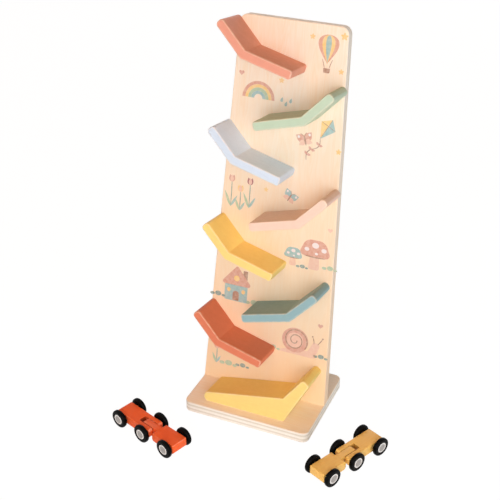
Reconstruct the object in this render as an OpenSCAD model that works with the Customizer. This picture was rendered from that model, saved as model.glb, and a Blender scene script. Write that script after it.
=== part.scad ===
// Click clack track tower: a leaning board on a plywood base, seven bent ramps that
// alternate left and right, a foot ramp, and two jointed cars with three wheelsets each.
// Millimetres. The origin is the centre of the base's underside, +Y points to the back.

/* [Base] */
// Width of the base, left to right
base_w = 152; // [110:1:240]
// Depth of the base, front to back
base_d = 117; // [90:1:200]
// Thickness of the base's plywood
base_t = 13; // [9:0.5:24]
// Radius of the base's four corners
base_corner_r = 8; // [2:0.5:20]

/* [Board] */
// Length of the upright board, measured up its face
board_h = 430; // [380:5:640]
// Distance of the board's foot in from each side of the base
board_inset = 0; // [0:0.5:12]
// Width of the board at its top
board_top_w = 120; // [105:1:180]
// Thickness of the board
board_t = 12; // [8:0.5:20]
// Radius of the board's two top corners
board_corner_r = 9; // [2:0.5:20]
// Degrees that the board leans back from upright
board_lean = 10; // [4:0.5:16]
// Distance from the base's front edge to the foot of the board's face
board_setback = 55; // [48:1:80]

/* [Ramps] */
// Depth of every ramp, out from the board's face
ramp_d = 43; // [28:1:46]
// Thickness of a bent ramp
ramp_t = 10; // [7:0.5:14]
// Length of a ramp's gentle running leg, on top
run_len = 54.5; // [40:0.5:60]
// Slope of the running leg, in degrees
run_slope = 14.7; // [8:0.1:20]
// Length of a ramp's steep catching leg, on top
catch_len = 40.5; // [28:0.5:48]
// Slope of the catching leg, in degrees
catch_slope = 46.5; // [35:0.5:60]
// Corner radius at the end of the catching leg
catch_end_r = 4; // [1:0.25:4.5]
// Corner radius at the end of the running leg
run_end_r = 3; // [1:0.25:4.5]

/* [Foot ramp] */
// Length of the foot ramp's running face
foot_run_len = 94; // [70:1:100]
// Slope of the foot ramp's running face, in degrees
foot_run_slope = 10.5; // [8:0.1:11]
// Length of the foot ramp's catching leg, on top
foot_catch_len = 36; // [26:0.5:42]
// Slope of the foot ramp's catching leg, in degrees
foot_catch_slope = 53.5; // [45:0.5:60]
// Thickness of the foot ramp's catching leg
foot_leg_t = 10; // [7:0.5:14]
// Height of the foot ramp's inner corner, up the board
foot_corner_z = 20.7; // [18:0.1:30]
// Distance of the foot ramp's inner corner from the tower's middle
foot_corner_x = 40; // [34:0.5:46]
// Distance from the tower's middle to the foot ramp's lower right corner
foot_side_x = 46; // [42:0.5:52]
// Radius of the foot ramp's thin nose
foot_nose_r = 3; // [1:0.25:3.5]

/* [Cars] */
// Diameter of the wheels over their tyres
wheel_d = 21.4; // [17:0.2:24]
// Width of a tyre
tyre_w = 5; // [3.6:0.1:7]
// Diameter of the pale hub inside a tyre
hub_d = 12; // [8:0.1:14]
// Distance between neighbouring axles
axle_spacing = 37.3; // [34:0.1:46]
// Diameter of the steel axles
axle_d = 3; // [2:0.1:4]
// Width of a car over its tyres
track_w = 34.4; // [33:0.2:44]
// Width of the wooden blocks
block_w = 20.5; // [16:0.5:21]
// Height of the wooden blocks
block_h = 10.8; // [8:0.1:13]
// Height of the blocks' undersides above the ground
block_clear = 5.2; // [3:0.1:8]
// Length of a block beyond its end axle
block_overhang = 8.5; // [5:0.1:12]
// Width of the tongue that reaches between the fork's ears
tongue_w = 8.6; // [5:0.1:9.6]
// Clearance on each side of the tongue
tongue_side_gap = 0.4; // [0.1:0.05:1]
// Distance from the middle axle to the tongue's end
tongue_reach = 10.6; // [8:0.1:12]
// Distance from the middle axle to the closed end of the fork's slot
slot_reach = 14.5; // [13.6:0.1:18]
// Distance from the middle axle to the ends of the fork's ears
ear_reach = 7.6; // [6:0.1:8.5]
// Distance from the middle axle to the tongue block's shoulders
shoulder_reach = 12.4; // [11:0.1:15]
// Radius of the rounded corners at the joint
joint_corner_r = 3; // [1:0.1:4]
// Radius of the blocks' outer corners, seen from the side
block_corner_r = 1; // [0.3:0.1:3]

/* [Places] */
// Left to right place of the red car's middle axle
red_car_x = -89.4; // [-110:0.1:-80]
// Front to back place of the red car's middle axle, from the base's front edge
red_car_y = -54.5; // [-110:0.5:-50]
// Direction of the red car's tongue block, in degrees from +X
red_car_heading = -19.9; // [-30:0.1:-10]
// Left to right place of the natural car's middle axle, from the base's right side
natural_car_x = 50.6; // [46:0.1:90]
// Front to back place of the natural car's middle axle
natural_car_y = -69.1; // [-120:0.1:-60]
// Direction of the natural car's tongue block, in degrees from +X
natural_car_heading = 245; // [240:0.1:270]

/* [Fasteners and fits] */
// Shank diameter of the wood screws
screw_d = 3.5; // [2.5:0.1:4.5]
// Head diameter of the wood screws
screw_head_d = 7; // [5.5:0.1:9]
// Depth of a screw in the wood past the joint
screw_bite = 22; // [12:1:26]
// Length of a ramp screw's head cone
screw_cone_h = 2.4; // [1.5:0.1:3.5]
// Height of a base screw's flat head
base_screw_head_h = 2.4; // [1.5:0.1:3]
// Depth of the wells for the base screws' heads
base_well_h = 5; // [4:0.1:6]
// Radial clearance of an axle in the blocks
run_gap = 0.05; // [0.02:0.01:0.1]
// Radial clearance of parts that are pressed or screwed together
seat_gap = 0.02; // [0.01:0.01:0.05]

/* [Hidden] */
CARS = ["red_car", "natural_car"];
AXLES = ["rear", "middle", "front"];
SIDES = ["left", "right"];
RAMPS = ["ramp_1_coral", "ramp_2_sage", "ramp_3_sky", "ramp_4_blush",
         "ramp_5_yellow", "ramp_6_teal", "ramp_7_terracotta"];
$fn = 64;

// Ramps from the top down: side of the tower, height of the inner corner as a share of the
// board's length, and its place as a share of the board's half width at that height
ramp_sides = [-1, 1, -1, 1, -1, 1, -1];
ramp_height_shares = [0.9304, 0.7947, 0.6692, 0.5391, 0.4176, 0.2881, 0.1705];
ramp_out_shares = [0.555, 0.4975, 0.566, 0.529, 0.5325, 0.486, 0.569];
RAMP_COLOURS = ["#E39A86", "#B9D2B4", "#C9D5E0", "#F3CDB8", "#FFD27D", "#8FB4BF", "#D9795F"];
CAR_COLOURS = ["#F05A32", "#F5BE74"];

// A corner's arc is drawn in this many chords
arc_steps = 8;
// Length that a cut runs past a face
overrun = 1;
// Screws are placed along each leg's top at these shares of its length
run_screw_share = 0.55;
catch_screw_share = 0.55;
foot_run_screw_share = 0.35;
// Base screws stand at these shares of the board's half width
base_screw_shares = [-0.7, 0, 0.7];
// The side wall of the foot ramp turns at this share of its leg, down from the end
foot_side_share = 0.96;
// Steps in the radius of a tyre's bore and hub
rim_step = 1.1;
rim_w_share = 0.5;
tyre_shoulder_share = 0.34;
tyre_lip = 0.4;
hub_cap_h = 1.2;
hub_dome = 0.35;
hub_boss_d = 6.4;
hub_boss_gap = 0.3;

board_foot_w = base_w - 2 * board_inset;
board_face_y = board_setback - base_d / 2;
wheel_r = wheel_d / 2;
axle_r = axle_d / 2;
hub_r = hub_d / 2;
wheel_out = track_w / 2;
wheel_in = wheel_out - tyre_w;
block_end = axle_spacing + block_overhang;
slot_w = tongue_w + 2 * tongue_side_gap;
bore_r = axle_r + run_gap;
axle_half = wheel_out - hub_cap_h;
car_places = [[red_car_x, red_car_y - base_d / 2, red_car_heading],
              [natural_car_x + base_w / 2, natural_car_y, natural_car_heading]];

// Unit vector along v
function unit(v) = v / norm(v);

// Points of an arc of radius r that rounds corner b between its neighbours a and c
function corner_arc(a, b, c, r) =
    let (u = unit(a - b), w = unit(c - b), half = acos(u * w) / 2,
         mid = b + unit(u + w) * r / sin(half),
         p = b + u * r / tan(half) - mid, q = b + w * r / tan(half) - mid,
         from = atan2(p[1], p[0]), turn = atan2(q[1], q[0]) - from,
         sweep = turn > 180 ? turn - 360 : turn < -180 ? turn + 360 : turn)
    [for (i = [0 : arc_steps]) mid + r * [cos(from + sweep * i / arc_steps), sin(from + sweep * i / arc_steps)]];

// Closed outline through points, each corner rounded to its radius (0 keeps it sharp)
function rounded(points, radii) =
    let (n = len(points))
    [for (i = [0 : n - 1])
        each radii[i] == 0 ? [points[i]]
            : corner_arc(points[(i + n - 1) % n], points[i], points[(i + 1) % n], radii[i])];

// Half the board's width at height z up its face
function board_half(z) = (board_foot_w + (board_top_w - board_foot_w) * z / board_h) / 2;

// Top of a leg at distance s from the inner corner: s > 0 runs down the gentle leg to the
// right, s < 0 climbs the steep leg to the left
function leg_point(s) = s > 0 ? s * [cos(run_slope), -sin(run_slope)]
                              : -s * [-cos(catch_slope), sin(catch_slope)];

// Downward normals of the two legs
run_normal = [-sin(run_slope), -cos(run_slope)];
catch_normal = [-sin(catch_slope), -cos(catch_slope)];

// Outline of a left-hand ramp about its inner corner
ramp_outline =
    let (outer = unit(run_normal + catch_normal) * ramp_t / cos((catch_slope - run_slope) / 2))
    rounded([[0, 0], leg_point(-catch_len), leg_point(-catch_len) + catch_normal * ramp_t, outer,
             leg_point(run_len) + run_normal * ramp_t, leg_point(run_len)],
            [0, catch_end_r, catch_end_r, 0, run_end_r, run_end_r]);

// Outline of the foot ramp in the board's frame, down past the base's top
foot_corner = [foot_corner_x, foot_corner_z];
foot_nose = foot_corner - foot_run_len * [cos(foot_run_slope), sin(foot_run_slope)];
foot_tip = foot_corner + foot_catch_len * [cos(foot_catch_slope), sin(foot_catch_slope)];
foot_leg_normal = foot_leg_t * [sin(foot_catch_slope), -cos(foot_catch_slope)];
foot_side = foot_tip + foot_leg_normal
          - foot_catch_len * foot_side_share * [cos(foot_catch_slope), sin(foot_catch_slope)];
foot_drop = ramp_d * tan(board_lean) + overrun;
foot_outline =
    rounded([foot_corner, foot_tip, foot_tip + foot_leg_normal, foot_side,
             [foot_side_x, 0], [foot_side_x, -foot_drop], [foot_nose[0], -foot_drop], foot_nose],
            [0, catch_end_r, catch_end_r, 0, 0, 0, 0, foot_nose_r]);

// Inner corner of ramp i, in the board's frame
function ramp_place(i) =
    let (z = board_h * ramp_height_shares[i])
    [ramp_sides[i] * ramp_out_shares[i] * board_half(z), z];

// Places of the two screws in ramp i, in the board's frame
function ramp_screw_places(i) =
    let (flip = [-ramp_sides[i], 1], core = ramp_t / 2,
         run = leg_point(run_len * run_screw_share) + run_normal * core,
         catch = leg_point(-catch_len * catch_screw_share) + catch_normal * core)
    [for (p = [run, catch]) ramp_place(i) + [p[0] * flip[0], p[1] * flip[1]]];

// Places of the foot ramp's two screws, in the board's frame
foot_screw_places =
    [foot_corner + (foot_nose - foot_corner) * foot_run_screw_share - [0, ramp_t / 2],
     (foot_corner + foot_tip + foot_leg_normal) / 2];

screw_places = concat([for (i = [0 : len(RAMPS) - 1]) each ramp_screw_places(i)], foot_screw_places);

// Puts children in the board's frame: X across, Y into the board, Z up its face
module on_board() {
    translate([0, board_face_y, base_t]) rotate([-board_lean, 0, 0]) children();
}

// Extrudes a drawing of the board's face from depth y to y + depth
module slab(y, depth) {
    translate([0, y + depth, 0]) rotate([90, 0, 0]) linear_extrude(depth) children();
}

// Everything above the base's top, as wide as the tower
module above_base() {
    translate([-base_w, -base_d, base_t]) cube([base_w * 2, base_d * 2, board_h * 2]);
}

// Wood screw along Y: its cone is flush with the board's back and its shank runs to the front
module ramp_screw(gap) {
    rotate([90, 0, 0]) {
        translate([0, 0, -board_t]) cylinder(h = board_t + screw_bite + gap, r = screw_d / 2 + gap);
        translate([0, 0, -board_t])
            cylinder(h = screw_cone_h, r1 = screw_head_d / 2 + gap, r2 = screw_d / 2 + gap);
    }
}

module all_ramp_screws(gap) {
    on_board() for (p = screw_places) translate([p[0], 0, p[1]]) ramp_screw(gap);
}

// Board-frame height where the middle of the board's thickness meets the base's underside
base_under_z = (board_t / 2 * sin(board_lean) - base_t) / cos(board_lean);

// Screw from below the base into the board's foot, square to the board's foot line
module base_screw(gap) {
    translate([0, board_t / 2, base_under_z + base_well_h]) {
        cylinder(h = screw_bite + base_t - base_well_h + gap, r = screw_d / 2 + gap);
        translate([0, 0, -base_screw_head_h]) cylinder(h = base_screw_head_h, r = screw_head_d / 2);
    }
}

module all_base_screws(gap) {
    on_board() for (s = base_screw_shares) translate([s * board_foot_w / 2, 0, 0]) base_screw(gap);
}

module base_plate() {
    corners = [for (p = [[-1, -1], [1, -1], [1, 1], [-1, 1]]) [p[0] * base_w / 2, p[1] * base_d / 2]];
    color("#EBC596") difference() {
        linear_extrude(base_t) polygon(rounded(corners, [for (p = corners) base_corner_r]));
        all_base_screws(seat_gap);
        on_board() for (s = base_screw_shares)
            translate([s * board_foot_w / 2, board_t / 2, base_under_z - base_t])
                cylinder(h = base_t + base_well_h, r = screw_head_d / 2 + run_gap);
    }
}

module upright_board() {
    foot = board_t * tan(board_lean);
    outline = rounded([[-board_half(-foot), -foot], [board_half(-foot), -foot],
                       [board_top_w / 2, board_h], [-board_top_w / 2, board_h]],
                      [0, 0, board_corner_r, board_corner_r]);
    color("#F8DCBC") difference() {
        intersection() {
            on_board() slab(0, board_t) polygon(outline);
            above_base();
        }
        all_ramp_screws(seat_gap);
        all_base_screws(seat_gap);
    }
}

// Bent ramp i, glued square to the board's face
module ramp(i) {
    color(RAMP_COLOURS[i]) difference() {
        on_board() translate([ramp_place(i)[0], 0, ramp_place(i)[1]])
            slab(-ramp_d, ramp_d) scale([-ramp_sides[i], 1]) polygon(ramp_outline);
        on_board() for (p = ramp_screw_places(i)) translate([p[0], 0, p[1]]) ramp_screw(seat_gap);
    }
}

// Wedge at the tower's foot, standing on the base with a catching leg on the right
module foot_ramp() {
    color("#FFCF75") difference() {
        intersection() {
            on_board() slab(-ramp_d, ramp_d) polygon(foot_outline);
            above_base();
        }
        on_board() for (p = foot_screw_places) translate([p[0], 0, p[1]]) ramp_screw(seat_gap);
    }
}

module ramp_screws() {
    color("#B9BBBE") all_ramp_screws(0);
}

module base_screws() {
    color("#B9BBBE") all_base_screws(0);
}

// Puts children in car c's frame: X along the car, Z up, below the middle axle
module on_car(c) {
    translate([car_places[c][0], car_places[c][1], 0]) rotate([0, 0, car_places[c][2]]) children();
}

// Extrudes a side view, drawn as length and height, to a width across the car
module side_view(width) {
    translate([0, width / 2, 0]) rotate([90, 0, 0]) linear_extrude(width) children();
}

// Axle bore across a block at distance x along the car
module axle_bore(x) {
    translate([x, block_w / 2 + overrun, wheel_r]) rotate([90, 0, 0])
        cylinder(h = block_w + 2 * overrun, r = bore_r);
}

// Side view of a block from x0 to x1 with a radius for its corners at each end
module block_side(x0, x1, r0, r1) {
    z0 = block_clear;
    z1 = block_clear + block_h;
    polygon(rounded([[x0, z0], [x1, z0], [x1, z1], [x0, z1]], [r0, r1, r1, r0]));
}

// Block whose two ears hold the middle axle
module fork_block(c) {
    color(CAR_COLOURS[c]) on_car(c) difference() {
        side_view(block_w) block_side(-block_end, ear_reach, block_corner_r, joint_corner_r);
        translate([-slot_reach, -slot_w / 2, 0]) cube([slot_reach + block_end, slot_w, wheel_d]);
        axle_bore(-axle_spacing);
        axle_bore(0);
    }
}

// Block whose tongue turns on the middle axle between the ears
module tongue_block(c) {
    color(CAR_COLOURS[c]) on_car(c) difference() {
        union() {
            side_view(block_w) block_side(shoulder_reach, block_end, joint_corner_r, block_corner_r);
            side_view(tongue_w) block_side(-tongue_reach, axle_spacing, joint_corner_r, block_corner_r);
        }
        axle_bore(axle_spacing);
        axle_bore(0);
    }
}

// Steel axle a of car c, pressed into both hubs
module axle(c, a) {
    color("#C4C6C9") on_car(c) translate([(a - 1) * axle_spacing, axle_half, wheel_r])
        rotate([90, 0, 0]) cylinder(h = 2 * axle_half, r = axle_r);
}

// Revolves a wheel profile, drawn as radius and distance out from the car's middle
module wheel_part(c, a, s) {
    on_car(c) translate([(a - 1) * axle_spacing, 0, wheel_r])
        rotate([s == 0 ? -90 : 90, 0, 0]) rotate_extrude() children();
}

rim_in = wheel_in + tyre_w * (1 - rim_w_share) / 2;
rim_out = wheel_out - tyre_w * (1 - rim_w_share) / 2;

// Pale hub: boss towards the block, a rim that keys into the tyre, and a blind bore
module hub(c, a, s) {
    boss_in = block_w / 2 + hub_boss_gap;
    boss_r = hub_boss_d / 2;
    color("#CFCCC8") wheel_part(c, a, s)
        polygon([[axle_r + seat_gap, boss_in], [boss_r, boss_in], [boss_r, wheel_in], [hub_r, wheel_in],
                 [hub_r, rim_in], [hub_r + rim_step, rim_in], [hub_r + rim_step, rim_out],
                 [hub_r, rim_out], [hub_r, wheel_out], [0, wheel_out + hub_dome],
                 [0, axle_half + seat_gap], [axle_r + seat_gap, axle_half + seat_gap]]);
}

// Black tyre with round shoulders and a groove for the hub's rim
module tyre(c, a, s) {
    shoulder = tyre_w * tyre_shoulder_share;
    bore = hub_r + seat_gap;
    groove = bore + rim_step;
    color("#1E1F1E") wheel_part(c, a, s)
        polygon(rounded([[bore, wheel_in + tyre_lip], [bore + tyre_lip, wheel_in], [wheel_r, wheel_in],
                         [wheel_r, wheel_out], [bore + tyre_lip, wheel_out], [bore, wheel_out - tyre_lip],
                         [bore, rim_out + seat_gap], [groove, rim_out + seat_gap],
                         [groove, rim_in - seat_gap], [bore, rim_in - seat_gap]],
                        [0, 0, shoulder, shoulder, 0, 0, 0, 0, 0, 0]));
}

base_plate();
upright_board();
for (i = [0 : len(RAMPS) - 1])
    ramp(i);
foot_ramp();
ramp_screws();
base_screws();
for (c = [0 : len(CARS) - 1]) {
    fork_block(c);
    tongue_block(c);
    for (a = [0 : len(AXLES) - 1]) {
        axle(c, a);
        for (s = [0 : len(SIDES) - 1]) {
            hub(c, a, s);
            tyre(c, a, s);
        }
    }
}
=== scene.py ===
"""Dresses a click clack track tower and its two jointed cars with softened wood, paint and print.

Every new piece is a surface worked out with numpy in the frame of the part that carries it, and
rides on that part's body. Lengths are metres; MM turns sizes that are written in millimetres.
"""
from math import acos, atan2, cos, pi, radians, sin, tan, tau

import bmesh
import bpy
import numpy as np
from bpy.props import FloatProperty, FloatVectorProperty, IntProperty, PointerProperty
from mathutils import Matrix, Vector


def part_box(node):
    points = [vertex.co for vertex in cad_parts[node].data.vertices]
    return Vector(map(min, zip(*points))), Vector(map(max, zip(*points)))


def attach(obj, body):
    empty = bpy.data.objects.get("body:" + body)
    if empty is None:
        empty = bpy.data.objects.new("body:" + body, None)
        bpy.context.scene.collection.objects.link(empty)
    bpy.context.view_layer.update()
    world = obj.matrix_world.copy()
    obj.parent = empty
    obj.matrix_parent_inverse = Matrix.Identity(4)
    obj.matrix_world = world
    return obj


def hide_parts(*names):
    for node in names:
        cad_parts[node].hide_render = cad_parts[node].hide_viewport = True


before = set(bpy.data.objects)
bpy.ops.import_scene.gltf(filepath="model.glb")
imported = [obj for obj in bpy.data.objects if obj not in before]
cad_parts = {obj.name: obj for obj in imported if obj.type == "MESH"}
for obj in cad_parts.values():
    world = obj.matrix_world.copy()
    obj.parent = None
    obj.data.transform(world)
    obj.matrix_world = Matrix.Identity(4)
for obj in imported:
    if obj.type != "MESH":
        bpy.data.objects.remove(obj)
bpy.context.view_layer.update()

bl_info = {
    "name": "Click Clack Track Tower",
    "version": (1, 0, 0),
    "blender": (4, 5, 0),
    "location": "View3D > Sidebar > Track Tower",
    "description": "Painted ramps on a leaning plywood board, and two jointed wooden cars",
    "category": "Add Mesh",
}

MM = 0.001
TOWER = "tower"
CARS = ("red_car", "natural_car")
AXLES = ("rear", "middle", "front")
# The way out from the block at each wheel, along a car's Y
WHEEL_SIDES = {"left": 1, "right": -1}
# Each ramp's paint, and its side of the tower, left (-1) or right (1)
RAMPS = {
    "ramp_1_coral": ("coral", -1),
    "ramp_2_sage": ("sage", 1),
    "ramp_3_sky": ("sky", -1),
    "ramp_4_blush": ("blush", 1),
    "ramp_5_yellow": ("yellow", -1),
    "ramp_6_teal": ("teal", 1),
    "ramp_7_terracotta": ("terracotta", -1),
}

# Sizes that the frame already holds
BASE_LO, BASE_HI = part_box("base_plate")
BOARD_LO, BOARD_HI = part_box("upright_board")
WHEEL_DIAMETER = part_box("red_car_rear_left_tyre")[1].z

# Chords in the arc of an outline's corner, and in the quarter circle of a softened edge
ARC_STEPS = 8
EDGE_STEPS = 4
# Flat or wall next to a softened edge over which its edge share, for rubbing and painted highlight,
# fades out
FADE = 0.6 * MM
# Chords round a wheel, a screw and a printed outline
WHEEL_STEPS = 72
SCREW_STEPS = 32
PRINT_STEPS = 40
# Reach and half width of the cross in a screw's head, as shares of the head's diameter, and the
# turn from each screw to the next
CROSS_ARM = 0.27
CROSS_HALF_SLOT = 0.06
SCREW_TURN = 1.3
# The print stands out of the board's face by its film and reaches into it by its bed, and each
# later outline of a motif by one more layer
PRINT_FILM = 0.04 * MM
PRINT_BED = 0.05 * MM
PRINT_LAYER = 0.008 * MM
# A tyre's soft lip at the hub, and its wall's groove as distances from the hub and depths
TYRE_LIP = 0.35 * MM
TYRE_GROOVE = ((0.9 * MM, 0), (1.1 * MM, 0.22 * MM), (1.4 * MM, 0.22 * MM), (1.6 * MM, 0))
# A hub's round rim, its dish, and its face as shares of the rim's radius and of the dish's depth
HUB_RIM = 0.35 * MM
HUB_DISH = 0.16 * MM
HUB_FACE = ((0.78, 0), (0.72, -1), (0.5, -0.2), (0.28, 0.5), (0.06, 0.7))
# Clearances of a hub from its axle, its block and its tyre's flange, and of the flange from the
# hub's boss
HUB_FIT = 0.02 * MM
BLOCK_GAP = 0.3 * MM
FLANGE_GAP = 0.05 * MM
BOSS_GAP = 0.1 * MM
# Clearance of a screw in its countersink
SINK_GAP = 0.05 * MM
# Points closer than this are one point
WELD = 0.0005 * MM
# Faces that meet at less than this angle are shaded as one surface
SMOOTH_ANGLE = radians(30)
# Edges of a block that turn by more than this are rounded, with this many strips each
BLOCK_EDGE_ANGLE = radians(40)
BLOCK_EDGE_STRIPS = 3
# Gain from how far a block's normal leans to its edge share, which marks rubbing and painted highlight
WEAR_AND_HIGHLIGHT_GAIN = 8

# Place, width and colour of each square lamp, whose power is a setting of the same name
WHITE = (1, 1, 1)
AMBER = (1, 0.41, 0.05)
LAMPS = {
    "key": ((0.38, -1.4, 0.64), 1.0, WHITE),
    "right": ((2.0, -0.74, 0.64), 1.4, WHITE),
    "left": ((-2.0, -0.9, 0.64), 1.4, WHITE),
    "back": ((-0.5, 2.4, 1.0), 1.6, WHITE),
    "fill": ((-0.4, -1.2, 4.0), 2.5, AMBER),
}
# The lamps point at this place in the tower
LAMP_AIM = Vector((0, 0, 0.2))


def linear(red, green, blue):
    """Colour written as 0 to 255 display values, as the linear values that shaders take."""
    channels = [value / 255 for value in (red, green, blue)]
    return tuple(c / 12.92 if c <= 0.04045 else ((c + 0.055) / 1.055) ** 2.4 for c in channels)


def colour(name, description, red, green, blue):
    """Colour property with its default written as 0 to 255 display values."""
    return FloatVectorProperty(name=name, description=description, size=3, subtype="COLOR",
                               min=0, max=1, default=linear(red, green, blue))


def metres(name, description, size):
    """Length property."""
    return FloatProperty(name=name, description=description, default=size, unit="LENGTH")


def degrees(name, description, angle):
    """Angle property with its default written in degrees."""
    return FloatProperty(name=name, description=description, default=radians(angle), subtype="ANGLE")


def fraction(name, description, share):
    """Property between 0 and 1."""
    return FloatProperty(name=name, description=description, default=share, subtype="FACTOR",
                         min=0, max=1)


def watts(name, description, power):
    """Lamp power property."""
    return FloatProperty(name=name, description=description, default=power, unit="POWER")


class TowerSizes(bpy.types.PropertyGroup):
    """Sizes of the board, its ramps and its base."""
    lean: degrees("Lean", "Angle that the board leans back", 10)
    board_length: metres("Board length", "Length of the board up its face", 0.430)
    board_top_width: metres("Board top width", "Width of the board's top", 0.120)
    board_thickness: metres("Board thickness", "Thickness of the board", 0.012)
    board_corner: metres("Board corner", "Radius of the board's top corners", 0.009)
    base_corner: metres("Base corner", "Radius of the base's corners", 0.008)
    plate_edge: metres("Plate edge", "Softened edge of base and board", 0.0009)
    ramp_depth: metres("Ramp depth", "Depth of a ramp out from the board", 0.043)
    ramp_thickness: metres("Ramp thickness", "Thickness of a bent ramp", 0.010)
    ramp_edge: metres("Ramp edge", "Softened edge of a ramp's front", 0.0011)
    glued_edge: metres("Glued edge", "Softened edge against the board", 0.0003)
    run_length: metres("Run length", "Length of the gentle leg, on top", 0.0545)
    run_slope: degrees("Run slope", "Slope of the gentle leg", 14.7)
    catch_length: metres("Catch length", "Length of the steep leg, on top", 0.0405)
    catch_slope: degrees("Catch slope", "Slope of the steep leg", 46.5)
    catch_end: metres("Catch end", "Corner radius of the steep leg's end", 0.004)
    run_end: metres("Run end", "Corner radius of the gentle leg's end", 0.003)
    plies: IntProperty(name="Plies", description="Layers of the base and of the board",
                       default=5, min=1)


class FootRampSizes(bpy.types.PropertyGroup):
    """Sizes of the wedge at the tower's foot."""
    run_length: metres("Run length", "Length of the running face", 0.0977)
    run_slope: degrees("Run slope", "Slope of the running face", 10.5)
    catch_length: metres("Catch length", "Length of the catching leg, on top", 0.036)
    catch_slope: degrees("Catch slope", "Slope of the catching leg", 53.5)
    leg_thickness: metres("Leg thickness", "Thickness of the catching leg", 0.010)
    corner_across: metres("Corner across", "Inner corner from the middle", 0.040)
    corner_up: metres("Corner up", "Inner corner up the board", 0.0207)
    side_across: metres("Side across", "Slanting side at the base's top", 0.047)
    nose: metres("Nose", "Radius of the thin nose", 0.0058)


class CarSizes(bpy.types.PropertyGroup):
    """Sizes of a car's blocks and wheels."""
    block_width: metres("Block width", "Width of the blocks", 0.0205)
    block_height: metres("Block height", "Height of the blocks", 0.0108)
    clearance: metres("Clearance", "Height of the blocks' undersides", 0.0052)
    overhang: metres("Overhang", "Length of a block past its end axle", 0.0085)
    tongue_width: metres("Tongue width", "Width of the tongue", 0.0079)
    side_gap: metres("Side gap", "Clearance on each side of the tongue", 0.00075)
    tongue_reach: metres("Tongue reach", "Middle axle to the tongue's end", 0.0106)
    slot_reach: metres("Slot reach", "Middle axle to the slot's closed end", 0.0145)
    ear_reach: metres("Ear reach", "Middle axle to the ears' ends", 0.0076)
    shoulder_reach: metres("Shoulder reach", "Middle axle to the shoulders", 0.0124)
    joint_corner: metres("Joint corner", "Radius of the joint's corners", 0.003)
    block_corner: metres("Block corner", "Radius of the outer corners", 0.001)
    block_edge: metres("Block edge", "Softened edges of the blocks", 0.0004)
    axle_diameter: metres("Axle diameter", "Diameter of the axles", 0.003)
    axle_gap: metres("Axle gap", "Clearance of an axle in the blocks", 0.00005)
    track_width: metres("Track width", "Width of a car over its tyres", 0.0344)
    tyre_width: metres("Tyre width", "Width of a tyre", 0.005)
    tyre_shoulder: metres("Tyre shoulder", "Radius of a tyre's shoulders", 0.0017)
    hub_diameter: metres("Hub diameter", "Diameter of a pale hub", 0.012)
    boss_diameter: metres("Boss diameter", "Diameter of a hub's boss", 0.0064)
    flange: metres("Flange", "Rubber over a hub's inner side", 0.0004)
    hub_cap: metres("Hub cap", "Depth of the hub outside the axle's end", 0.0012)


class ScrewSizes(bpy.types.PropertyGroup):
    """Sizes and places of the wood screws."""
    shank: metres("Shank", "Diameter of the shanks", 0.0035)
    head: metres("Head", "Diameter of the heads", 0.007)
    cone: metres("Cone", "Height of a head", 0.0024)
    bite: metres("Bite", "Depth past the joint", 0.022)
    recess: metres("Recess", "Depth of the cross in a head", 0.0013)
    well: metres("Well", "Depth of the wells under the base", 0.005)
    leg_share: fraction("Leg share", "Place of a screw along its leg", 0.55)
    foot_share: fraction("Foot share", "Place along the foot ramp's face", 0.35)
    base_share: fraction("Base share", "Outer base screws across the board", 0.7)


class Colours(bpy.types.PropertyGroup):
    """Colours of the woods, paints, rubber, metals and printing inks."""
    coral: colour("Coral", "Paint of the first ramp", 235, 163, 141)
    sage: colour("Sage", "Paint of the second ramp", 195, 217, 194)
    sky: colour("Sky", "Paint of the third ramp", 216, 232, 252)
    blush: colour("Blush", "Paint of the fourth ramp", 249, 216, 199)
    yellow: colour("Yellow", "Paint of the fifth ramp and the foot ramp", 255, 224, 140)
    teal: colour("Teal", "Paint of the sixth ramp", 147, 184, 192)
    terracotta: colour("Terracotta", "Paint of the last ramp", 226, 131, 99)
    # Painted shade: the ramps' upward running faces are multiplied by these tones
    ramp_top_shade: colour("Ramp top shade", "Tone of the ramps' running faces", 239, 232, 221)
    yellow_top_shade: colour("Yellow top shade", "Tone of the yellow running faces", 255, 246, 222)
    red: colour("Red", "Paint of the red car", 255, 102, 44)
    natural: colour("Natural", "Lacquered wood of the other car", 255, 207, 114)
    natural_grain: colour("Natural grain", "Darker grain of that wood", 255, 188, 86)
    board_face: colour("Board face", "Light wood of the board's face", 255, 242, 226)
    board_grain: colour("Board grain", "Darker grain of the board", 250, 212, 166)
    base_face: colour("Base face", "Light wood of the base", 253, 236, 216)
    base_grain: colour("Base grain", "Darker grain of the base", 246, 206, 156)
    ply_light: colour("Light ply", "Light layers of a cut edge", 255, 251, 243)
    ply_dark: colour("Dark ply", "Dark layers of a cut edge", 233, 227, 214)
    tyre: colour("Tyre", "Black rubber", 9, 9, 9)
    hub: colour("Hub", "Pale hubs", 168, 165, 162)
    # Painted highlight on the hubs' rims
    hub_rim_highlight: colour("Hub rim highlight", "Lighter rims of the hubs", 252, 250, 247)
    steel: colour("Steel", "Axles and screws", 196, 198, 201)
    # Edge colour of the paint: part bare wood where paint is scuffed, part painted highlight
    bare_wood: colour("Bare wood", "Wood that shows where paint is rubbed", 252, 232, 210)
    ink_white: colour("White ink", "Pale print", 246, 240, 246)
    ink_pink: colour("Pink ink", "Rose print", 221, 163, 146)
    ink_blush: colour("Blush ink", "Light rose print", 242, 202, 184)
    ink_wine: colour("Wine ink", "Small dark accents", 168, 78, 92)
    ink_teal: colour("Teal ink", "Blue green print", 150, 196, 204)
    ink_slate: colour("Slate ink", "Dark blue green print", 124, 160, 160)
    ink_sage: colour("Sage ink", "Soft green print", 176, 205, 178)
    ink_straw: colour("Straw ink", "Yellow print", 250, 214, 138)
    ink_umber: colour("Umber ink", "Brown print", 176, 130, 110)


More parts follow.
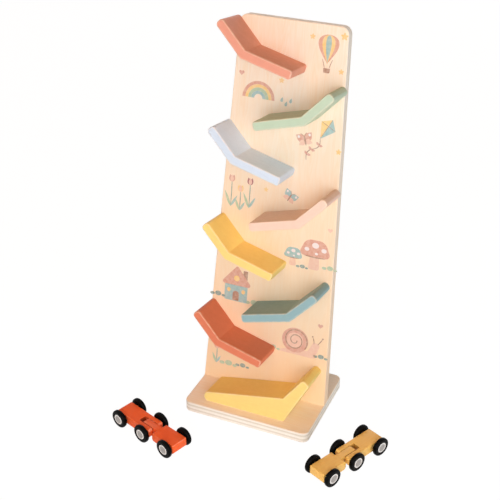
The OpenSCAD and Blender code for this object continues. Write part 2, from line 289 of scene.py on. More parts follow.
class StageSettings(bpy.types.PropertyGroup):
    """Camera, lamps and floor."""
    camera_place: FloatVectorProperty(name="Camera place", description="Place of the camera",
                                      default=(0.37676, -0.90483, 0.77457), subtype="TRANSLATION")
    camera_yaw: degrees("Camera yaw", "Turn of the camera to the left", 23.58)
    camera_pitch: degrees("Camera pitch", "Tilt of the camera below level", 30.33)
    lens: FloatProperty(name="Lens", description="Focal length on a 36 mm sensor, in millimetres",
                        default=75.35)
    key_power: watts("Key power", "Power of the large front lamp", 13.8)
    right_power: watts("Right power", "Power of the right lamp", 15.0)
    left_power: watts("Left power", "Power of the left lamp", 5.0)
    back_power: watts("Back power", "Power of the lamp behind the board", 9.0)
    fill_power: watts("Fill power", "Power of the warm overhead lamp", 44.5)
    ambient: FloatProperty(name="Ambient", description="Strength of the light from all round",
                           default=0.09, min=0)
    floor_size: metres("Floor size", "Width of the floor", 14.0)
    backdrop_share: fraction("Backdrop share", "White shown over the floor", 0.9)
    backdrop_strength: FloatProperty(name="Backdrop strength", description="Strength of that white",
                                     default=1.07, min=0)
    floor_cells: IntProperty(name="Floor cells", description="Cells along each side of the floor",
                             default=8, min=1)


# Numpy shapes

def unit(vector):
    """The vector at length one."""
    return vector / np.linalg.norm(vector)


def corner_arc(before, corner, after, radius):
    """Evenly spaced points of the circle that touches both sides of a corner. Its middle lies on
    the line that halves the corner, at the radius over the sine of half the corner's angle."""
    first = unit(before - corner)
    second = unit(after - corner)
    half = acos(float(first @ second)) / 2
    centre = corner + unit(first + second) * radius / sin(half)
    start = corner + first * radius / tan(half) - centre
    end = corner + second * radius / tan(half) - centre
    angle = atan2(start[1], start[0])
    turn = (atan2(end[1], end[0]) - angle + pi) % tau - pi
    angles = angle + turn * np.linspace(0, 1, ARC_STEPS + 1)
    return centre + radius * np.stack([np.cos(angles), np.sin(angles)], axis=1)


def rounded(corners, radii):
    """Closed outline through the corners, each turned into an arc of its radius; 0 stays sharp."""
    corners = [np.asarray(corner, float) for corner in corners]
    befores, afters = corners[-1:] + corners[:-1], corners[1:] + corners[:1]
    outline = np.concatenate([corner_arc(before, corner, after, radius) if radius else corner[None]
                              for before, corner, after, radius in zip(befores, corners, afters, radii)])
    across, up = outline.T
    anticlockwise = (across * np.roll(up, -1) - np.roll(across, -1) * up).sum() > 0
    return outline if anticlockwise else outline[::-1]


def oblong(half_width, half_height, radius=0):
    """Outline of a rectangle about zero."""
    corners = [(x * half_width, y * half_height) for x, y in ((-1, -1), (1, -1), (1, 1), (-1, 1))]
    return rounded(corners, [radius] * 4)


def inward(outline):
    """For each point of an anticlockwise outline, the move that takes both its sides in by one:
    the sum of their inward normals, over half the square of that sum's length."""
    side = np.roll(outline, -1, axis=0) - outline
    normal = np.stack([-side[:, 1], side[:, 0]], axis=1) / np.linalg.norm(side, axis=1)[:, None]
    both = normal + np.roll(normal, 1, axis=0)
    return 2 * both / (both ** 2).sum(axis=1)[:, None]


class Skin:
    """A grid of points, ring by ring, that closes round each ring, and at its two ends or, looped,
    from its last ring to its first. The edge share and the wall are shares, 0 to 1, that the
    materials read; the edge share stands for rubbing, and in paint and on hubs also for a painted
    highlight."""

    def __init__(self, rings, wear=None, wall=None, looped=False):
        self.rings = np.asarray(rings, float)
        shape = self.rings.shape[:2]
        self.wear = np.zeros(shape) if wear is None else np.broadcast_to(wear, shape)
        self.wall = np.zeros(shape) if wall is None else np.broadcast_to(wall, shape)
        self.looped = looped

    def carried(self, step):
        """The skin after a move along X, Y and Z."""
        self.rings = self.rings + step
        return self

    def faces(self, first):
        """Squares between neighbouring rings, and a cap on each end unless the rings form a loop."""
        rows, columns = self.rings.shape[:2]
        index = np.arange(rows * columns).reshape(rows, columns) + first
        beside = np.roll(index, -1, axis=1)
        below = np.roll(index, -1, axis=0)
        diagonal = np.roll(below, -1, axis=1)
        last = rows if self.looped else rows - 1
        squares = np.stack([index, beside, diagonal, below], axis=2)[:last].reshape(-1, 4).tolist()
        return squares if self.looped else squares + [index[0].tolist(), index[-1].tolist()]


def slab(outline, near, far, near_edge=0.0, far_edge=0.0):
    """Outline in X and Z carried along Y. At each softened edge the rings follow a quarter circle,
    each being the outline moved in by the edge's size less its share of the circle's sine."""
    turns = np.linspace(0, pi / 2, EDGE_STEPS + 1)

    def edge_rings(face, edge, towards):
        """Inset, depth, edge share (rubbing and painted highlight) and wall of each ring at one face."""
        if not edge:
            return [(0.0, face, 0.0, 0.0)]
        curve = [(edge * (1 - sin(turn)), face + towards * edge * (1 - cos(turn)), 1.0, turn * 2 / pi)
                 for turn in turns]
        flat = (edge + FADE, face, 0.0, 0.0)
        side = (0.0, face + towards * (edge + FADE), 0.0, 1.0)
        return [flat, *curve, side]

    steps = edge_rings(near, near_edge, 1) + edge_rings(far, far_edge, -1)[::-1]
    inset, depth, wear, wall = np.array(steps).T
    moved = outline[None] + inward(outline)[None] * inset[:, None, None]
    depths = np.broadcast_to(depth[:, None], moved.shape[:2])
    rings = np.stack([moved[..., 0], depths, moved[..., 1]], axis=2)
    return Skin(rings, wear[:, None], wall[:, None])


def turned(profile, steps, looped=False, wear=None):
    """Profile of radius and distance along Y, turned about the Y axis: X and Z are the radius
    times the cosine and the sine of the turn."""
    radius, along = np.asarray(profile, float).T
    angles = np.linspace(0, tau, steps, endpoint=False)
    rings = np.stack([radius[:, None] * np.cos(angles), np.repeat(along[:, None], steps, axis=1),
                      radius[:, None] * np.sin(angles)], axis=2)
    return Skin(rings, None if wear is None else np.asarray(wear)[:, None], looped=looped)


def place(points, matrix):
    """Points moved by a 4 by 4 matrix."""
    matrix = np.array(matrix)
    return points @ matrix[:3, :3].T + matrix[:3, 3]


def closed_mesh(name, skins, matrix=Matrix(), shades=None):
    """Mesh of closed skins placed by a matrix, with its faces turned outwards. Shades, where
    given, holds each skin's printed colour."""
    counts = [skin.rings.shape[0] * skin.rings.shape[1] for skin in skins]
    firsts = np.cumsum([0, *counts[:-1]]).tolist()
    points = np.concatenate([place(skin.rings.reshape(-1, 3), matrix) for skin in skins])
    mesh = bpy.data.meshes.new(name)
    mesh.from_pydata(points.tolist(), [],
                     sum((skin.faces(first) for skin, first in zip(skins, firsts)), []))
    for word in ("wear", "wall"):
        values = np.concatenate([getattr(skin, word).reshape(-1) for skin in skins])
        mesh.attributes.new(word, "FLOAT", "POINT").data.foreach_set("value", values)
    if shades is not None:
        inks = np.repeat([(*tint, 1.0) for tint in shades], counts, axis=0)
        mesh.attributes.new("ink", "FLOAT_COLOR", "POINT").data.foreach_set("color", inks.ravel())
    turn_out(mesh)
    return mesh


def turn_out(mesh):
    """Drops a closed mesh's flat folds, turns its faces outwards and shades shallow angles smooth."""
    cells = bmesh.new()
    cells.from_mesh(mesh)
    bmesh.ops.remove_doubles(cells, verts=cells.verts, dist=WELD)
    bmesh.ops.dissolve_degenerate(cells, edges=cells.edges, dist=WELD)
    bmesh.ops.recalc_face_normals(cells, faces=cells.faces)
    cells.to_mesh(mesh)
    cells.free()
    mesh.shade_smooth()
    mesh.set_sharp_from_angle(angle=SMOOTH_ANGLE)


def new_piece(name, mesh, material, body, slot_name, *nodes):
    """Object at the origin that rides on a body in place of the named nodes."""
    piece = bpy.data.objects.new(name, mesh)
    bpy.context.scene.collection.objects.link(piece)
    mesh.materials.clear()
    mesh.materials.append(material)
    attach(piece, body)
    if nodes:
        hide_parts(*nodes)


def worked(mesh, kind, **settings):
    """Mesh after a modifier of one kind, with its settings, is applied to it."""
    scratch = bpy.data.objects.new("scratch", mesh)
    bpy.context.scene.collection.objects.link(scratch)
    modifier = scratch.modifiers.new(kind, kind)
    for word, value in settings.items():
        setattr(modifier, word, value)
    graph = bpy.context.evaluated_depsgraph_get()
    result = bpy.data.meshes.new_from_object(scratch.evaluated_get(graph))
    bpy.data.objects.remove(scratch)
    return result


def joined_to(mesh, tool_mesh, operation):
    """Mesh after an exact Boolean operation with a second closed mesh."""
    tool = bpy.data.objects.new("tool", tool_mesh)
    bpy.context.scene.collection.objects.link(tool)
    result = worked(mesh, "BOOLEAN", operation=operation, solver="EXACT", object=tool)
    bpy.data.objects.remove(tool)
    return result


def cut(mesh, skins, matrix=Matrix()):
    """Mesh without what closed skins, placed by a matrix, fill."""
    return joined_to(mesh, closed_mesh("tool", skins, matrix), "DIFFERENCE")


# Shader graphs

class Field:
    """A shader socket on which Python's operators build Math nodes."""

    def __init__(self, graph, socket):
        self.graph = graph
        self.socket = socket

    def maths(self, operation, *terms):
        """Result of a Math node on the terms."""
        return self.graph.node("ShaderNodeMath", {"operation": operation}, dict(enumerate(terms)))

    def __add__(self, other):
        return self.maths("ADD", self, other)

    __radd__ = __add__

    def __sub__(self, other):
        return self.maths("SUBTRACT", self, other)

    def __rsub__(self, other):
        return self.maths("SUBTRACT", other, self)

    def __mul__(self, other):
        return self.maths("MULTIPLY", self, other)

    __rmul__ = __mul__

    def __abs__(self):
        return self.maths("ABSOLUTE", self)

    def sine(self):
        return self.maths("SINE", self)

    def between(self):
        """The value held between 0 and 1."""
        return self.maths("MINIMUM", self.maths("MAXIMUM", self, 0.0), 1.0)


class Graph:
    """The node tree of a material or a world."""

    def __init__(self, owner):
        owner.use_nodes = True
        self.owner = owner
        self.tree = owner.node_tree

    def node(self, kind, settings=None, sockets=None, output=0):
        """New node: its settings are set first, then its sockets' values or links."""
        made = self.tree.nodes.new(kind)
        for word, value in (settings or {}).items():
            setattr(made, word, value)
        for key, value in (sockets or {}).items():
            self.put(made.inputs[key], value)
        return Field(self, made.outputs[output])

    def put(self, socket, value):
        """Sets a socket's value, or links a field to it."""
        if isinstance(value, Field):
            self.tree.links.new(value.socket, socket)
        else:
            socket.default_value = value

    def fill(self, node_name, sockets):
        """Puts values or links into the sockets of a node that the tree starts with."""
        for key, value in sockets.items():
            self.put(self.tree.nodes[node_name].inputs[key], value)

    def finish(self, **sockets):
        """Fills the Principled shader's sockets, named with underscores, and gives the material."""
        self.fill("Principled BSDF", {word.replace("_", " "): v for word, v in sockets.items()})
        return self.owner

    def shown(self):
        """1 where the camera, a mirror or glass looks, and 0 elsewhere."""
        total = self.node("ShaderNodeLightPath", output="Is Camera Ray")
        for word in ("Is Glossy Ray", "Is Transmission Ray"):
            total = total.maths("MAXIMUM", total, self.node("ShaderNodeLightPath", output=word))
        return total

    def local(self, matrix=Matrix()):
        """Object coordinates in the frame that the matrix places."""
        coordinates = self.node("ShaderNodeTexCoord", output="Object")
        return self.node("ShaderNodeMapping", {"vector_type": "TEXTURE"},
                         {"Vector": coordinates, "Location": matrix.to_translation(),
                          "Rotation": matrix.to_euler()})

    def part(self, vector, axis):
        """A vector's part along one axis, 0 to 2."""
        return self.node("ShaderNodeSeparateXYZ", None, {0: vector}, output=axis)

    def noise(self, vector, cell, detail=3.0, roughness=0.55):
        """Noise with cells of one size all round, or of a size for each axis."""
        stretched = self.node("ShaderNodeVectorMath", {"operation": "MULTIPLY"},
                              {0: vector, 1: [1 / size for size in np.resize(cell, 3)]})
        return self.node("ShaderNodeTexNoise", {"noise_dimensions": "3D"},
                         {"Vector": stretched, "Scale": 1.0, "Detail": detail, "Roughness": roughness})

    def attribute(self, name, output="Fac"):
        """Value of a mesh attribute."""
        return self.node("ShaderNodeAttribute", {"attribute_name": name}, output=output)

    def blend(self, share, first, second, kind="MIX"):
        """First colour, taken towards the second by a share."""
        first, second = (c if isinstance(c, Field) else (*c, 1.0) for c in (first, second))
        return self.node("ShaderNodeMix", {"data_type": "RGBA", "blend_type": kind},
                         {0: share, 6: first, 7: second}, output=2)

    def bump(self, height, distance, strength):
        """Normal of a surface raised by a height field."""
        return self.node("ShaderNodeBump", None,
                         {"Height": height, "Distance": distance, "Strength": strength})


def material_graph(name):
    """Node tree of a new material."""
    return Graph(bpy.data.materials.new(name))


def shade(tint, factor):
    """Colour darkened, or lightened where the factor is over one."""
    return tuple(min(1.0, channel * factor) for channel in tint)


# Materials. Noise cells are sizes in metres, and the weights and thresholds that mix the noises
# were set one by one.

def varnished(graph, tint, roughness, fibres, bands):
    """Finish of varnished plywood: a thin coat, with the grain in faint relief."""
    relief = graph.bump(fibres + bands * 0.15, distance=0.12 * MM, strength=0.5)
    return graph.finish(Base_Color=tint, Roughness=roughness, Specular_IOR_Level=0.35,
                        Coat_Weight=0.08, Coat_Roughness=0.35, Normal=relief)


def wood_fields(graph, local):
    """Fine fibres, broad tone and its wandering growth bands, in wood whose grain runs along
    local X. The bands are the sine of many turns of the broad tone."""
    fibres = graph.noise(local, (0.05, 0.0007, 0.0007), detail=4.0, roughness=0.6)
    broad = graph.noise(local, (0.16, 0.02, 0.02))
    bands = (broad * 70.0).sine() * 0.5 + 0.5
    return fibres, broad, bands


def plywood(name, matrix, thickness, face, grain, painted_bounce_start=0.0):
    """Lacquered plywood. In the matrix's frame X runs along the grain and Z through the layers:
    faces show fibres and bands, and cut edges show light and dark plies with thin glue lines. The
    last argument is the share of the grain's tone where X is 0, which fades out along X: painted
    warm bounce light, warmer towards the board's foot."""
    tints = bpy.context.scene.tower_colours
    plies = bpy.context.scene.tower_sizes.plies
    graph = material_graph(name)
    local = graph.local(matrix)
    fibres, broad, bands = wood_fields(graph, local)
    tone = (fibres * 0.6 + bands * 0.14 + broad * 0.6 - 0.45).between()
    toned = graph.blend(tone, face, grain)
    # Painted warm bounce light, fading out along X from the foot
    painted_bounce = (1.0 - graph.part(local, 0) * 2.6).between() * painted_bounce_start
    veneer_and_bounce = graph.blend(painted_bounce, toned, grain)
    layer = graph.part(local, 2) * (pi * plies / thickness)
    wobble = graph.noise(local, (0.012, 0.012, 0.0012))
    wave = (layer + wobble * 0.5 - 0.25).sine()
    ply = (wave * 3.0 + 1.3).between()
    glue = (1.0 - abs(wave) * 7.0).between() * 0.3
    layered = graph.blend(ply, tints.ply_dark, tints.ply_light)
    pores = graph.noise(local, (0.0008, 0.0008, 0.004), detail=2.0)
    end_grain = graph.blend((pores - 0.42).between() * 0.6, layered, shade(tints.ply_dark, 0.85))
    sawn = graph.blend(glue, end_grain, shade(tints.ply_dark, 0.55))
    wall = graph.attribute("wall")
    body = graph.blend(wall, veneer_and_bounce, sawn)
    rubbed_and_highlit = (graph.attribute("wear") * (broad * 2.2 - 0.7).between() * 0.4).between()
    wear_and_painted_light = graph.blend(rubbed_and_highlit, body, shade(grain, 0.86))
    return varnished(graph, wear_and_painted_light, fibres * 0.16 + wall * 0.14 + 0.36, fibres, bands)


def in_slot(graph, local):
    """Share of a car's joint walls that takes painted shade: 1 between the fork's ears and behind them,
    where the place is within the slot's width and below the blocks' tops, and fading over the
    rounded edges."""
    sizes = bpy.context.scene.car_sizes
    edge = sizes.block_edge
    along, across, up = (graph.part(local, axis) for axis in range(3))
    half = sizes.tongue_width / 2 + sizes.side_gap + edge / 2
    top = sizes.clearance + sizes.block_height
    shares = (half - abs(across), along + sizes.slot_reach + edge, sizes.ear_reach - along,
              top - up, up - sizes.clearance)
    whole = 1.0
    for share in shares:
        whole = (share * (1 / edge)).between() * whole
    return whole


def paint(name, tint, matrix, jointed=False, top_shade=None):
    """Satin paint over wood: the grain shows as faint ridges and tone, the coat mottles a little,
    edges go lighter, partly scuffed to bare wood and partly a painted highlight, faces that look
    up are darkened by a painted shade tone, where one is given, and the walls of a car's joint
    get painted shade."""
    graph = material_graph(name)
    local = graph.local(matrix)
    fibres, _, bands = wood_fields(graph, local)
    mottle = graph.noise(local, 0.006, detail=4.0)
    tone = (fibres * 0.5 + mottle * 0.55 + bands * 0.08 - 0.3).between()
    coat = graph.blend(tone, shade(tint, 1.04), shade(tint, 0.86))
    # Lighter edges: part scuffed paint, part painted highlight on the rounded edges
    rubbed_and_highlit = graph.attribute("wear") * (mottle * 2.4 - 0.6).between() * 0.8
    bare = bpy.context.scene.tower_colours.bare_wood
    pale = tuple(channel * 0.45 + wood * 0.55 for channel, wood in zip(tint, bare))
    wear_and_painted_light = graph.blend(rubbed_and_highlit, coat, pale)
    # Painted shade: faces that look up are multiplied by a darker, warmer tone
    if top_shade:
        upward = graph.part(graph.node("ShaderNodeTexCoord", output="Normal"), 2)
        share = (upward * 4.0 - 1.6).between() * (mottle * 0.5 + 0.75).between()
        wear_and_painted_light = graph.blend(share, wear_and_painted_light, top_shade, kind="MULTIPLY")
    if jointed:
        # Painted shade on the walls in and beside the joint's slot
        wear_and_painted_light = graph.blend(in_slot(graph, local), wear_and_painted_light, shade(tint, 0.42))
    peel = graph.noise(local, 0.0009, detail=2.0)
    relief = graph.bump(fibres * 0.7 + peel * 0.4, distance=0.1 * MM, strength=0.55)
    return graph.finish(Base_Color=wear_and_painted_light, Roughness=mottle * 0.2 + fibres * 0.1 + 0.34,
                        Specular_IOR_Level=0.2, Normal=relief)


def lacquered_wood(name, light, dark, matrix):
    """Clear coated hardwood with strong lengthwise grain, bands about 4 mm apart across it, short
    dark flecks and painted shade on the joint walls."""
    graph = material_graph(name)
    local = graph.local(matrix)
    fibres = graph.noise(local, (0.03, 0.0006, 0.0006), detail=4.0, roughness=0.6)
    broad = graph.noise(local, (0.05, 0.005, 0.005), detail=2.0)
    flecks = graph.noise(local, (0.004, 0.0005, 0.0005), detail=1.0)
    bands = (graph.part(local, 1) * 1500.0 + broad * 14.0).sine() * 0.5 + 0.5
    tone = (fibres * 0.6 + bands * 0.16 + broad * 0.4 - 0.42).between()
    plain = graph.blend(tone, light, dark)
    flecked = graph.blend((flecks * 4.0 - 2.5).between() * 0.25, plain, shade(dark, 0.62))
    rubbed_and_highlit = graph.attribute("wear") * (broad * 2.0 - 0.6).between() * 0.35
    wear_and_painted_light = graph.blend(rubbed_and_highlit, flecked, shade(light, 1.12))
    # Painted shade on the walls in and beside the joint's slot
    slot_shaded = graph.blend(in_slot(graph, local), wear_and_painted_light, shade(dark, 0.5))
    return graph.finish(Base_Color=slot_shaded, Roughness=fibres * 0.18 + 0.3, Specular_IOR_Level=0.3,
                        Coat_Weight=0.1, Coat_Roughness=0.25,
                        Normal=graph.bump(fibres, distance=0.1 * MM, strength=0.5))


def rubber(tint):
    """Black rubber with a slight sheen, dusty patches and a fine moulded grain."""
    graph = material_graph("tyre_rubber")
    local = graph.local()
    dust_and_top_shade = graph.noise(local, 0.004)
    grain = graph.noise(local, 0.0004, detail=1.0)
    tone = graph.blend((dust_and_top_shade * 1.6 - 0.6).between() * 0.5, tint, shade(tint, 2.4))
    return graph.finish(Base_Color=tone, Roughness=dust_and_top_shade * 0.2 + 0.16, Specular_IOR_Level=0.04,
                        Normal=graph.bump(grain, distance=0.04 * MM, strength=0.5))


def hub_metal(tint, rim_highlight):
    """Pale satin hub with a fine speckle and a painted highlight on its rim."""
    graph = material_graph("hub_satin")
    local = graph.local()
    speckle = graph.noise(local, 0.0006, detail=2.0)
    patches = graph.noise(local, 0.003, detail=2.0)
    face = graph.blend((speckle * 1.4 + patches * 0.5 - 0.55).between(), shade(tint, 1.1),
                       shade(tint, 0.68))
    # Painted highlight: the rim is taken towards a near white tone
    tone = graph.blend(graph.attribute("wear") * 0.7, face, rim_highlight)
    return graph.finish(Base_Color=tone, Metallic=0.3, Roughness=patches * 0.2 + 0.26,
                        Normal=graph.bump(speckle, distance=0.05 * MM, strength=0.5))


def steel(name, tint):
    """Drawn steel with fine scratches and a little tarnish."""
    graph = material_graph(name)
    local = graph.local()
    scratches = graph.noise(local, (0.0003, 0.0003, 0.004))
    tarnish = graph.noise(local, 0.003)
    tone = graph.blend((tarnish * 1.4 - 0.5).between() * 0.5, tint, shade(tint, 0.6))
    return graph.finish(Base_Color=tone, Metallic=1.0,
                        Roughness=scratches * 0.2 + tarnish * 0.12 + 0.14,
                        Normal=graph.bump(scratches, distance=0.03 * MM, strength=0.4))


def printed_ink(matrix):
    """Water based print: the ink attribute's colour, mottled like a wash, with the wood's fibres
    showing through."""
    tints = bpy.context.scene.tower_colours
    graph = material_graph("board_print")
    local = graph.local(matrix)
    fibres, _, bands = wood_fields(graph, local)
    wash = graph.noise(local, 0.004, detail=4.0, roughness=0.65)
    ink = graph.attribute("ink", output="Color")
    thinned = graph.blend((wash * 1.3 - 0.42).between() * 0.75, ink, tints.board_face)
    grained = graph.blend(fibres * 0.3, thinned, tints.board_grain, kind="MULTIPLY")
    return varnished(graph, grained, fibres * 0.16 + 0.38, fibres, bands)


def floor_white(settings):
    """Pale matt floor that keeps the object's shadow under a share of plain white."""
    graph = material_graph("pale_floor")
    soft = graph.noise(graph.local(), 0.6, detail=1.0)
    tone = graph.blend(soft, shade(WHITE, 0.88), shade(WHITE, 0.92))
    graph.finish(Base_Color=tone, Roughness=0.9, Specular_IOR_Level=0.1)
    lit = Field(graph, graph.tree.nodes["Principled BSDF"].outputs[0])
    white = graph.node("ShaderNodeEmission", None,
                       {"Color": (*WHITE, 1), "Strength": settings.backdrop_strength})
    share = graph.shown() * settings.backdrop_share
    mix = graph.node("ShaderNodeMixShader", None, {0: share, 1: lit, 2: white})
    graph.fill("Material Output", {"Surface": mix})
    return graph.owner


# Frames of the parts that carry the pieces

def board_frame():
    """X across the board, Y into it and Z up its face, from the foot of the face."""
    lean = bpy.context.scene.tower_sizes.lean
    return Matrix.Translation((0, BOARD_LO.y, BOARD_LO.z)) @ Matrix.Rotation(-lean, 4, "X")


def base_frame():
    """Y through the base's thickness, from the middle of its underside."""
    middle = (BASE_LO + BASE_HI) / 2
    return Matrix.Translation((middle.x, middle.y, BASE_LO.z)) @ Matrix.Rotation(pi / 2, 4, "X")


def axle_middles(car):
    """Middles of a car's rear, middle and front axles."""
    return [sum(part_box(f"{car}_{axle}_axle"), Vector()) / 2 for axle in AXLES]


def car_frame(car):
    """X along the car towards its tongue block and Z up, below the middle axle."""
    rear, middle, front = axle_middles(car)
    ahead = front - rear
    return (Matrix.Translation((middle.x, middle.y, 0))
            @ Matrix.Rotation(atan2(ahead.y, ahead.x), 4, "Z"))


def axle_spacing(car):
    """Distance between neighbouring axles of a car."""
    rear, _, front = axle_middles(car)
    return (front - rear).length / 2


def wood_frame(carrier, along, through):
    """The carrier's frame turned so that X is its grain and Z its thickness, each given as an axis."""
    turn = Matrix((along, Vector(through).cross(Vector(along)), through)).transposed()
    return carrier @ turn.to_4x4()


def board_grain():
    """Frame of the board's wood: X up the board and Z through it."""
    return wood_frame(board_frame(), (0, 0, 1), (0, 1, 0))


# Shapes of the tower

def board_half(up):
    """Half of the board's width at a height up its face."""
    sizes = bpy.context.scene.tower_sizes
    foot = (BOARD_HI.x - BOARD_LO.x) / 2
    return foot + (sizes.board_top_width / 2 - foot) * up / sizes.board_length


def above_base(mesh):
    """Mesh without what lies below the base's top."""
    reach = 2 * BOARD_HI.z
    corners = [(-reach, BOARD_LO.z), (reach, BOARD_LO.z), (reach, reach), (-reach, reach)]
    room = closed_mesh("room", [slab(rounded(corners, [0] * 4), -reach, reach)])
    return joined_to(mesh, room, "INTERSECT")


def leg_vectors():
    """Directions of a left ramp's two legs from its inner corner, and their downward normals."""
    sizes = bpy.context.scene.tower_sizes
    run = np.array([cos(sizes.run_slope), -sin(sizes.run_slope)])
    catch = np.array([-cos(sizes.catch_slope), sin(sizes.catch_slope)])
    return run, catch, np.array([run[1], -run[0]]), np.array([-catch[1], catch[0]])


def ramp_outline(side):
    """Outline of a bent ramp about its inner corner, on the left (-1) or right (1) of the tower."""
    sizes = bpy.context.scene.tower_sizes
    run, catch, run_normal, catch_normal = leg_vectors()
    bend = (sizes.catch_slope - sizes.run_slope) / 2
    under = unit(run_normal + catch_normal) * sizes.ramp_thickness / cos(bend)
    tip = catch * sizes.catch_length
    end = run * sizes.run_length
    corners = [(0, 0), tip, tip + catch_normal * sizes.ramp_thickness, under,
               end + run_normal * sizes.ramp_thickness, end]
    radii = [0, sizes.catch_end, sizes.catch_end, 0, sizes.run_end, sizes.run_end]
    return rounded([np.array(corner) * (-side, 1) for corner in corners], radii)


def ramp_corner(node, side):
    """Place of a ramp's inner corner in the board's frame, from the box that its node fills."""
    sizes = bpy.context.scene.tower_sizes
    sharp = slab(ramp_outline(side), -sizes.ramp_depth, 0.0)
    lowest = place(sharp.rings.reshape(-1, 3), board_frame()).min(axis=0)
    move = board_frame().to_3x3().inverted() @ (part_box(node)[0] - Vector(lowest))
    return np.array([move.x, move.z])


def foot_ramp_points():
    """Inner corner, nose and tip of the foot ramp in the board's frame, and the step from the
    catching leg's inner face to its outer one."""
    sizes = bpy.context.scene.foot_ramp_sizes
    corner = np.array([sizes.corner_across, sizes.corner_up])
    nose = corner - sizes.run_length * np.array([cos(sizes.run_slope), sin(sizes.run_slope)])
    up_leg = np.array([cos(sizes.catch_slope), sin(sizes.catch_slope)])
    tip = corner + sizes.catch_length * up_leg
    outer = sizes.leg_thickness * np.array([up_leg[1], -up_leg[0]])
    return corner, nose, tip, outer


def foot_ramp_outline():
    """Outline of the foot ramp, run down past the base's top at its front. The leg's outer face
    runs straight on to the base, where the side meets it."""
    sizes = bpy.context.scene.foot_ramp_sizes
    tower = bpy.context.scene.tower_sizes
    corner, nose, tip, outer = foot_ramp_points()
    drop = tower.ramp_depth * tan(tower.lean) + MM
    side = np.array([sizes.side_across, 0])
    under = side - (tip + outer - side) * drop / (tip + outer)[1]
    corners = [corner, tip, tip + outer, under, (nose[0], -drop), nose]
    return rounded(corners, [0, tower.catch_end, tower.catch_end, 0, sizes.nose, sizes.nose])


def screw_places():
    """Places of the ramp screws in the board's frame, as across and up."""
    sizes = bpy.context.scene.tower_sizes
    screws = bpy.context.scene.screw_sizes
    run, catch, run_normal, catch_normal = leg_vectors()
    core = sizes.ramp_thickness / 2
    legs = [run * sizes.run_length * screws.leg_share + run_normal * core,
            catch * sizes.catch_length * screws.leg_share + catch_normal * core]
    places = [ramp_corner(node, side) + leg * (-side, 1)
              for node, (_, side) in RAMPS.items() for leg in legs]
    corner, nose, tip, outer = foot_ramp_points()
    return places + [corner + (nose - corner) * screws.foot_share - np.array([0, core]),
                     (corner + tip + outer) / 2]


def base_screw_frames():
    """Frames of the base screws: Y points up the screw, from the outer face of its head, which
    stands in the well by the head's height."""
    sizes = bpy.context.scene.tower_sizes
    screws = bpy.context.scene.screw_sizes
    middle = sizes.board_thickness / 2
    underside = (middle * sin(sizes.lean) - (BASE_HI.z - BASE_LO.z)) / cos(sizes.lean)
    foot_half = (BOARD_HI.x - BOARD_LO.x) / 2
    return [board_frame()
            @ Matrix.Translation((share * foot_half, middle, underside + screws.well - screws.cone))
            @ Matrix.Rotation(pi / 2, 4, "X") for share in (-screws.base_share, 0, screws.base_share)]


def screw_mesh(name, profile, frames):
    """Wood screws of one profile, each with a cross cut into its head and turned a little
    differently. The head's outer face lies at Y = 0 and the shank runs along Y."""
    screws = bpy.context.scene.screw_sizes
    blank = closed_mesh(name, [turned(profile, SCREW_STEPS)])
    arm, half_slot = screws.head * CROSS_ARM, screws.head * CROSS_HALF_SLOT
    for bar in (oblong(arm, half_slot), oblong(half_slot, arm)):
        blank = cut(blank, [slab(bar, -MM, screws.recess)])
    cells = bmesh.new()
    for index, spot in enumerate(frames):
        screw = blank.copy()
        screw.transform(spot @ Matrix.Rotation(index * SCREW_TURN, 4, "Y"))
        cells.from_mesh(screw)
    mesh = bpy.data.meshes.new(name)
    cells.to_mesh(mesh)
    cells.free()
    turn_out(mesh)
    return mesh


# Printed motifs: each is a list of flat outlines with their inks, the first one lowest

def oval(across, up, half_width, half_height, turn=0.0):
    """Ellipse, the cosine of an angle across and its sine up, turned about its centre."""
    angles = np.linspace(0, tau, PRINT_STEPS, endpoint=False)
    points = np.stack([half_width * np.cos(angles), half_height * np.sin(angles)], axis=1)
    return spun(points, turn) + (across, up)


def spun(points, turn):
    """Points turned about zero."""
    return points @ np.array([[cos(turn), sin(turn)], [-sin(turn), cos(turn)]])


def lobed(across, up, radius, lobes, depth, turn=0.0):
    """Curve whose radius swells and shrinks as a cosine, once for each lobe."""
    angles = np.linspace(0, tau, PRINT_STEPS * 2, endpoint=False)
    reach = radius * (1 + depth * np.cos(lobes * angles))
    points = np.stack([reach * np.cos(angles), reach * np.sin(angles)], axis=1)
    return spun(points, turn) + (across, up)


def leaf(across, up, length, half_width, turn=0.0):
    """Lens from its stalk to its tip, as wide as a sine hump that is fullest nearer the stalk."""
    share = np.linspace(0, 1, PRINT_STEPS // 2)
    hump = half_width * np.sin(pi * share ** 0.8)
    low = np.stack([share * length, -hump], axis=1)
    high = np.stack([share * length, hump], axis=1)[-2:0:-1]
    return spun(np.concatenate([low, high]), turn) + (across, up)


def drop(across, up, half_width, height, turn=0.0):
    """Tear drop: the cosine of an angle up, and across its sine, which a power of the sine of half
    the angle draws in towards the top."""
    angles = np.linspace(0, tau, PRINT_STEPS, endpoint=False)
    across_drop = half_width * np.sin(angles) * np.sin(angles / 2) ** 1.4 * 1.25
    points = np.stack([across_drop, height / 2 * np.cos(angles)], axis=1)
    return spun(points, turn) + (across, up)


def arch(across, up, inner, outer):
    """Half ring between two radii: an outer half circle and an inner one back."""
    angles = np.linspace(0, pi, PRINT_STEPS // 2)
    ray = np.stack([np.cos(angles), np.sin(angles)], axis=1)
    return np.concatenate([ray * outer, ray[::-1] * inner]) + (across, up)


def stroke(start, middle, end, width):
    """Brush stroke along a quadratic curve, thinner at its two ends."""
    share = np.linspace(0, 1, PRINT_STEPS // 2)[:, None]
    start, middle, end = (np.asarray(point, float) for point in (start, middle, end))
    path = start * (1 - share) ** 2 + middle * 2 * share * (1 - share) + end * share ** 2
    return inked_path(path, width * (0.45 + 0.55 * np.sin(pi * share)))


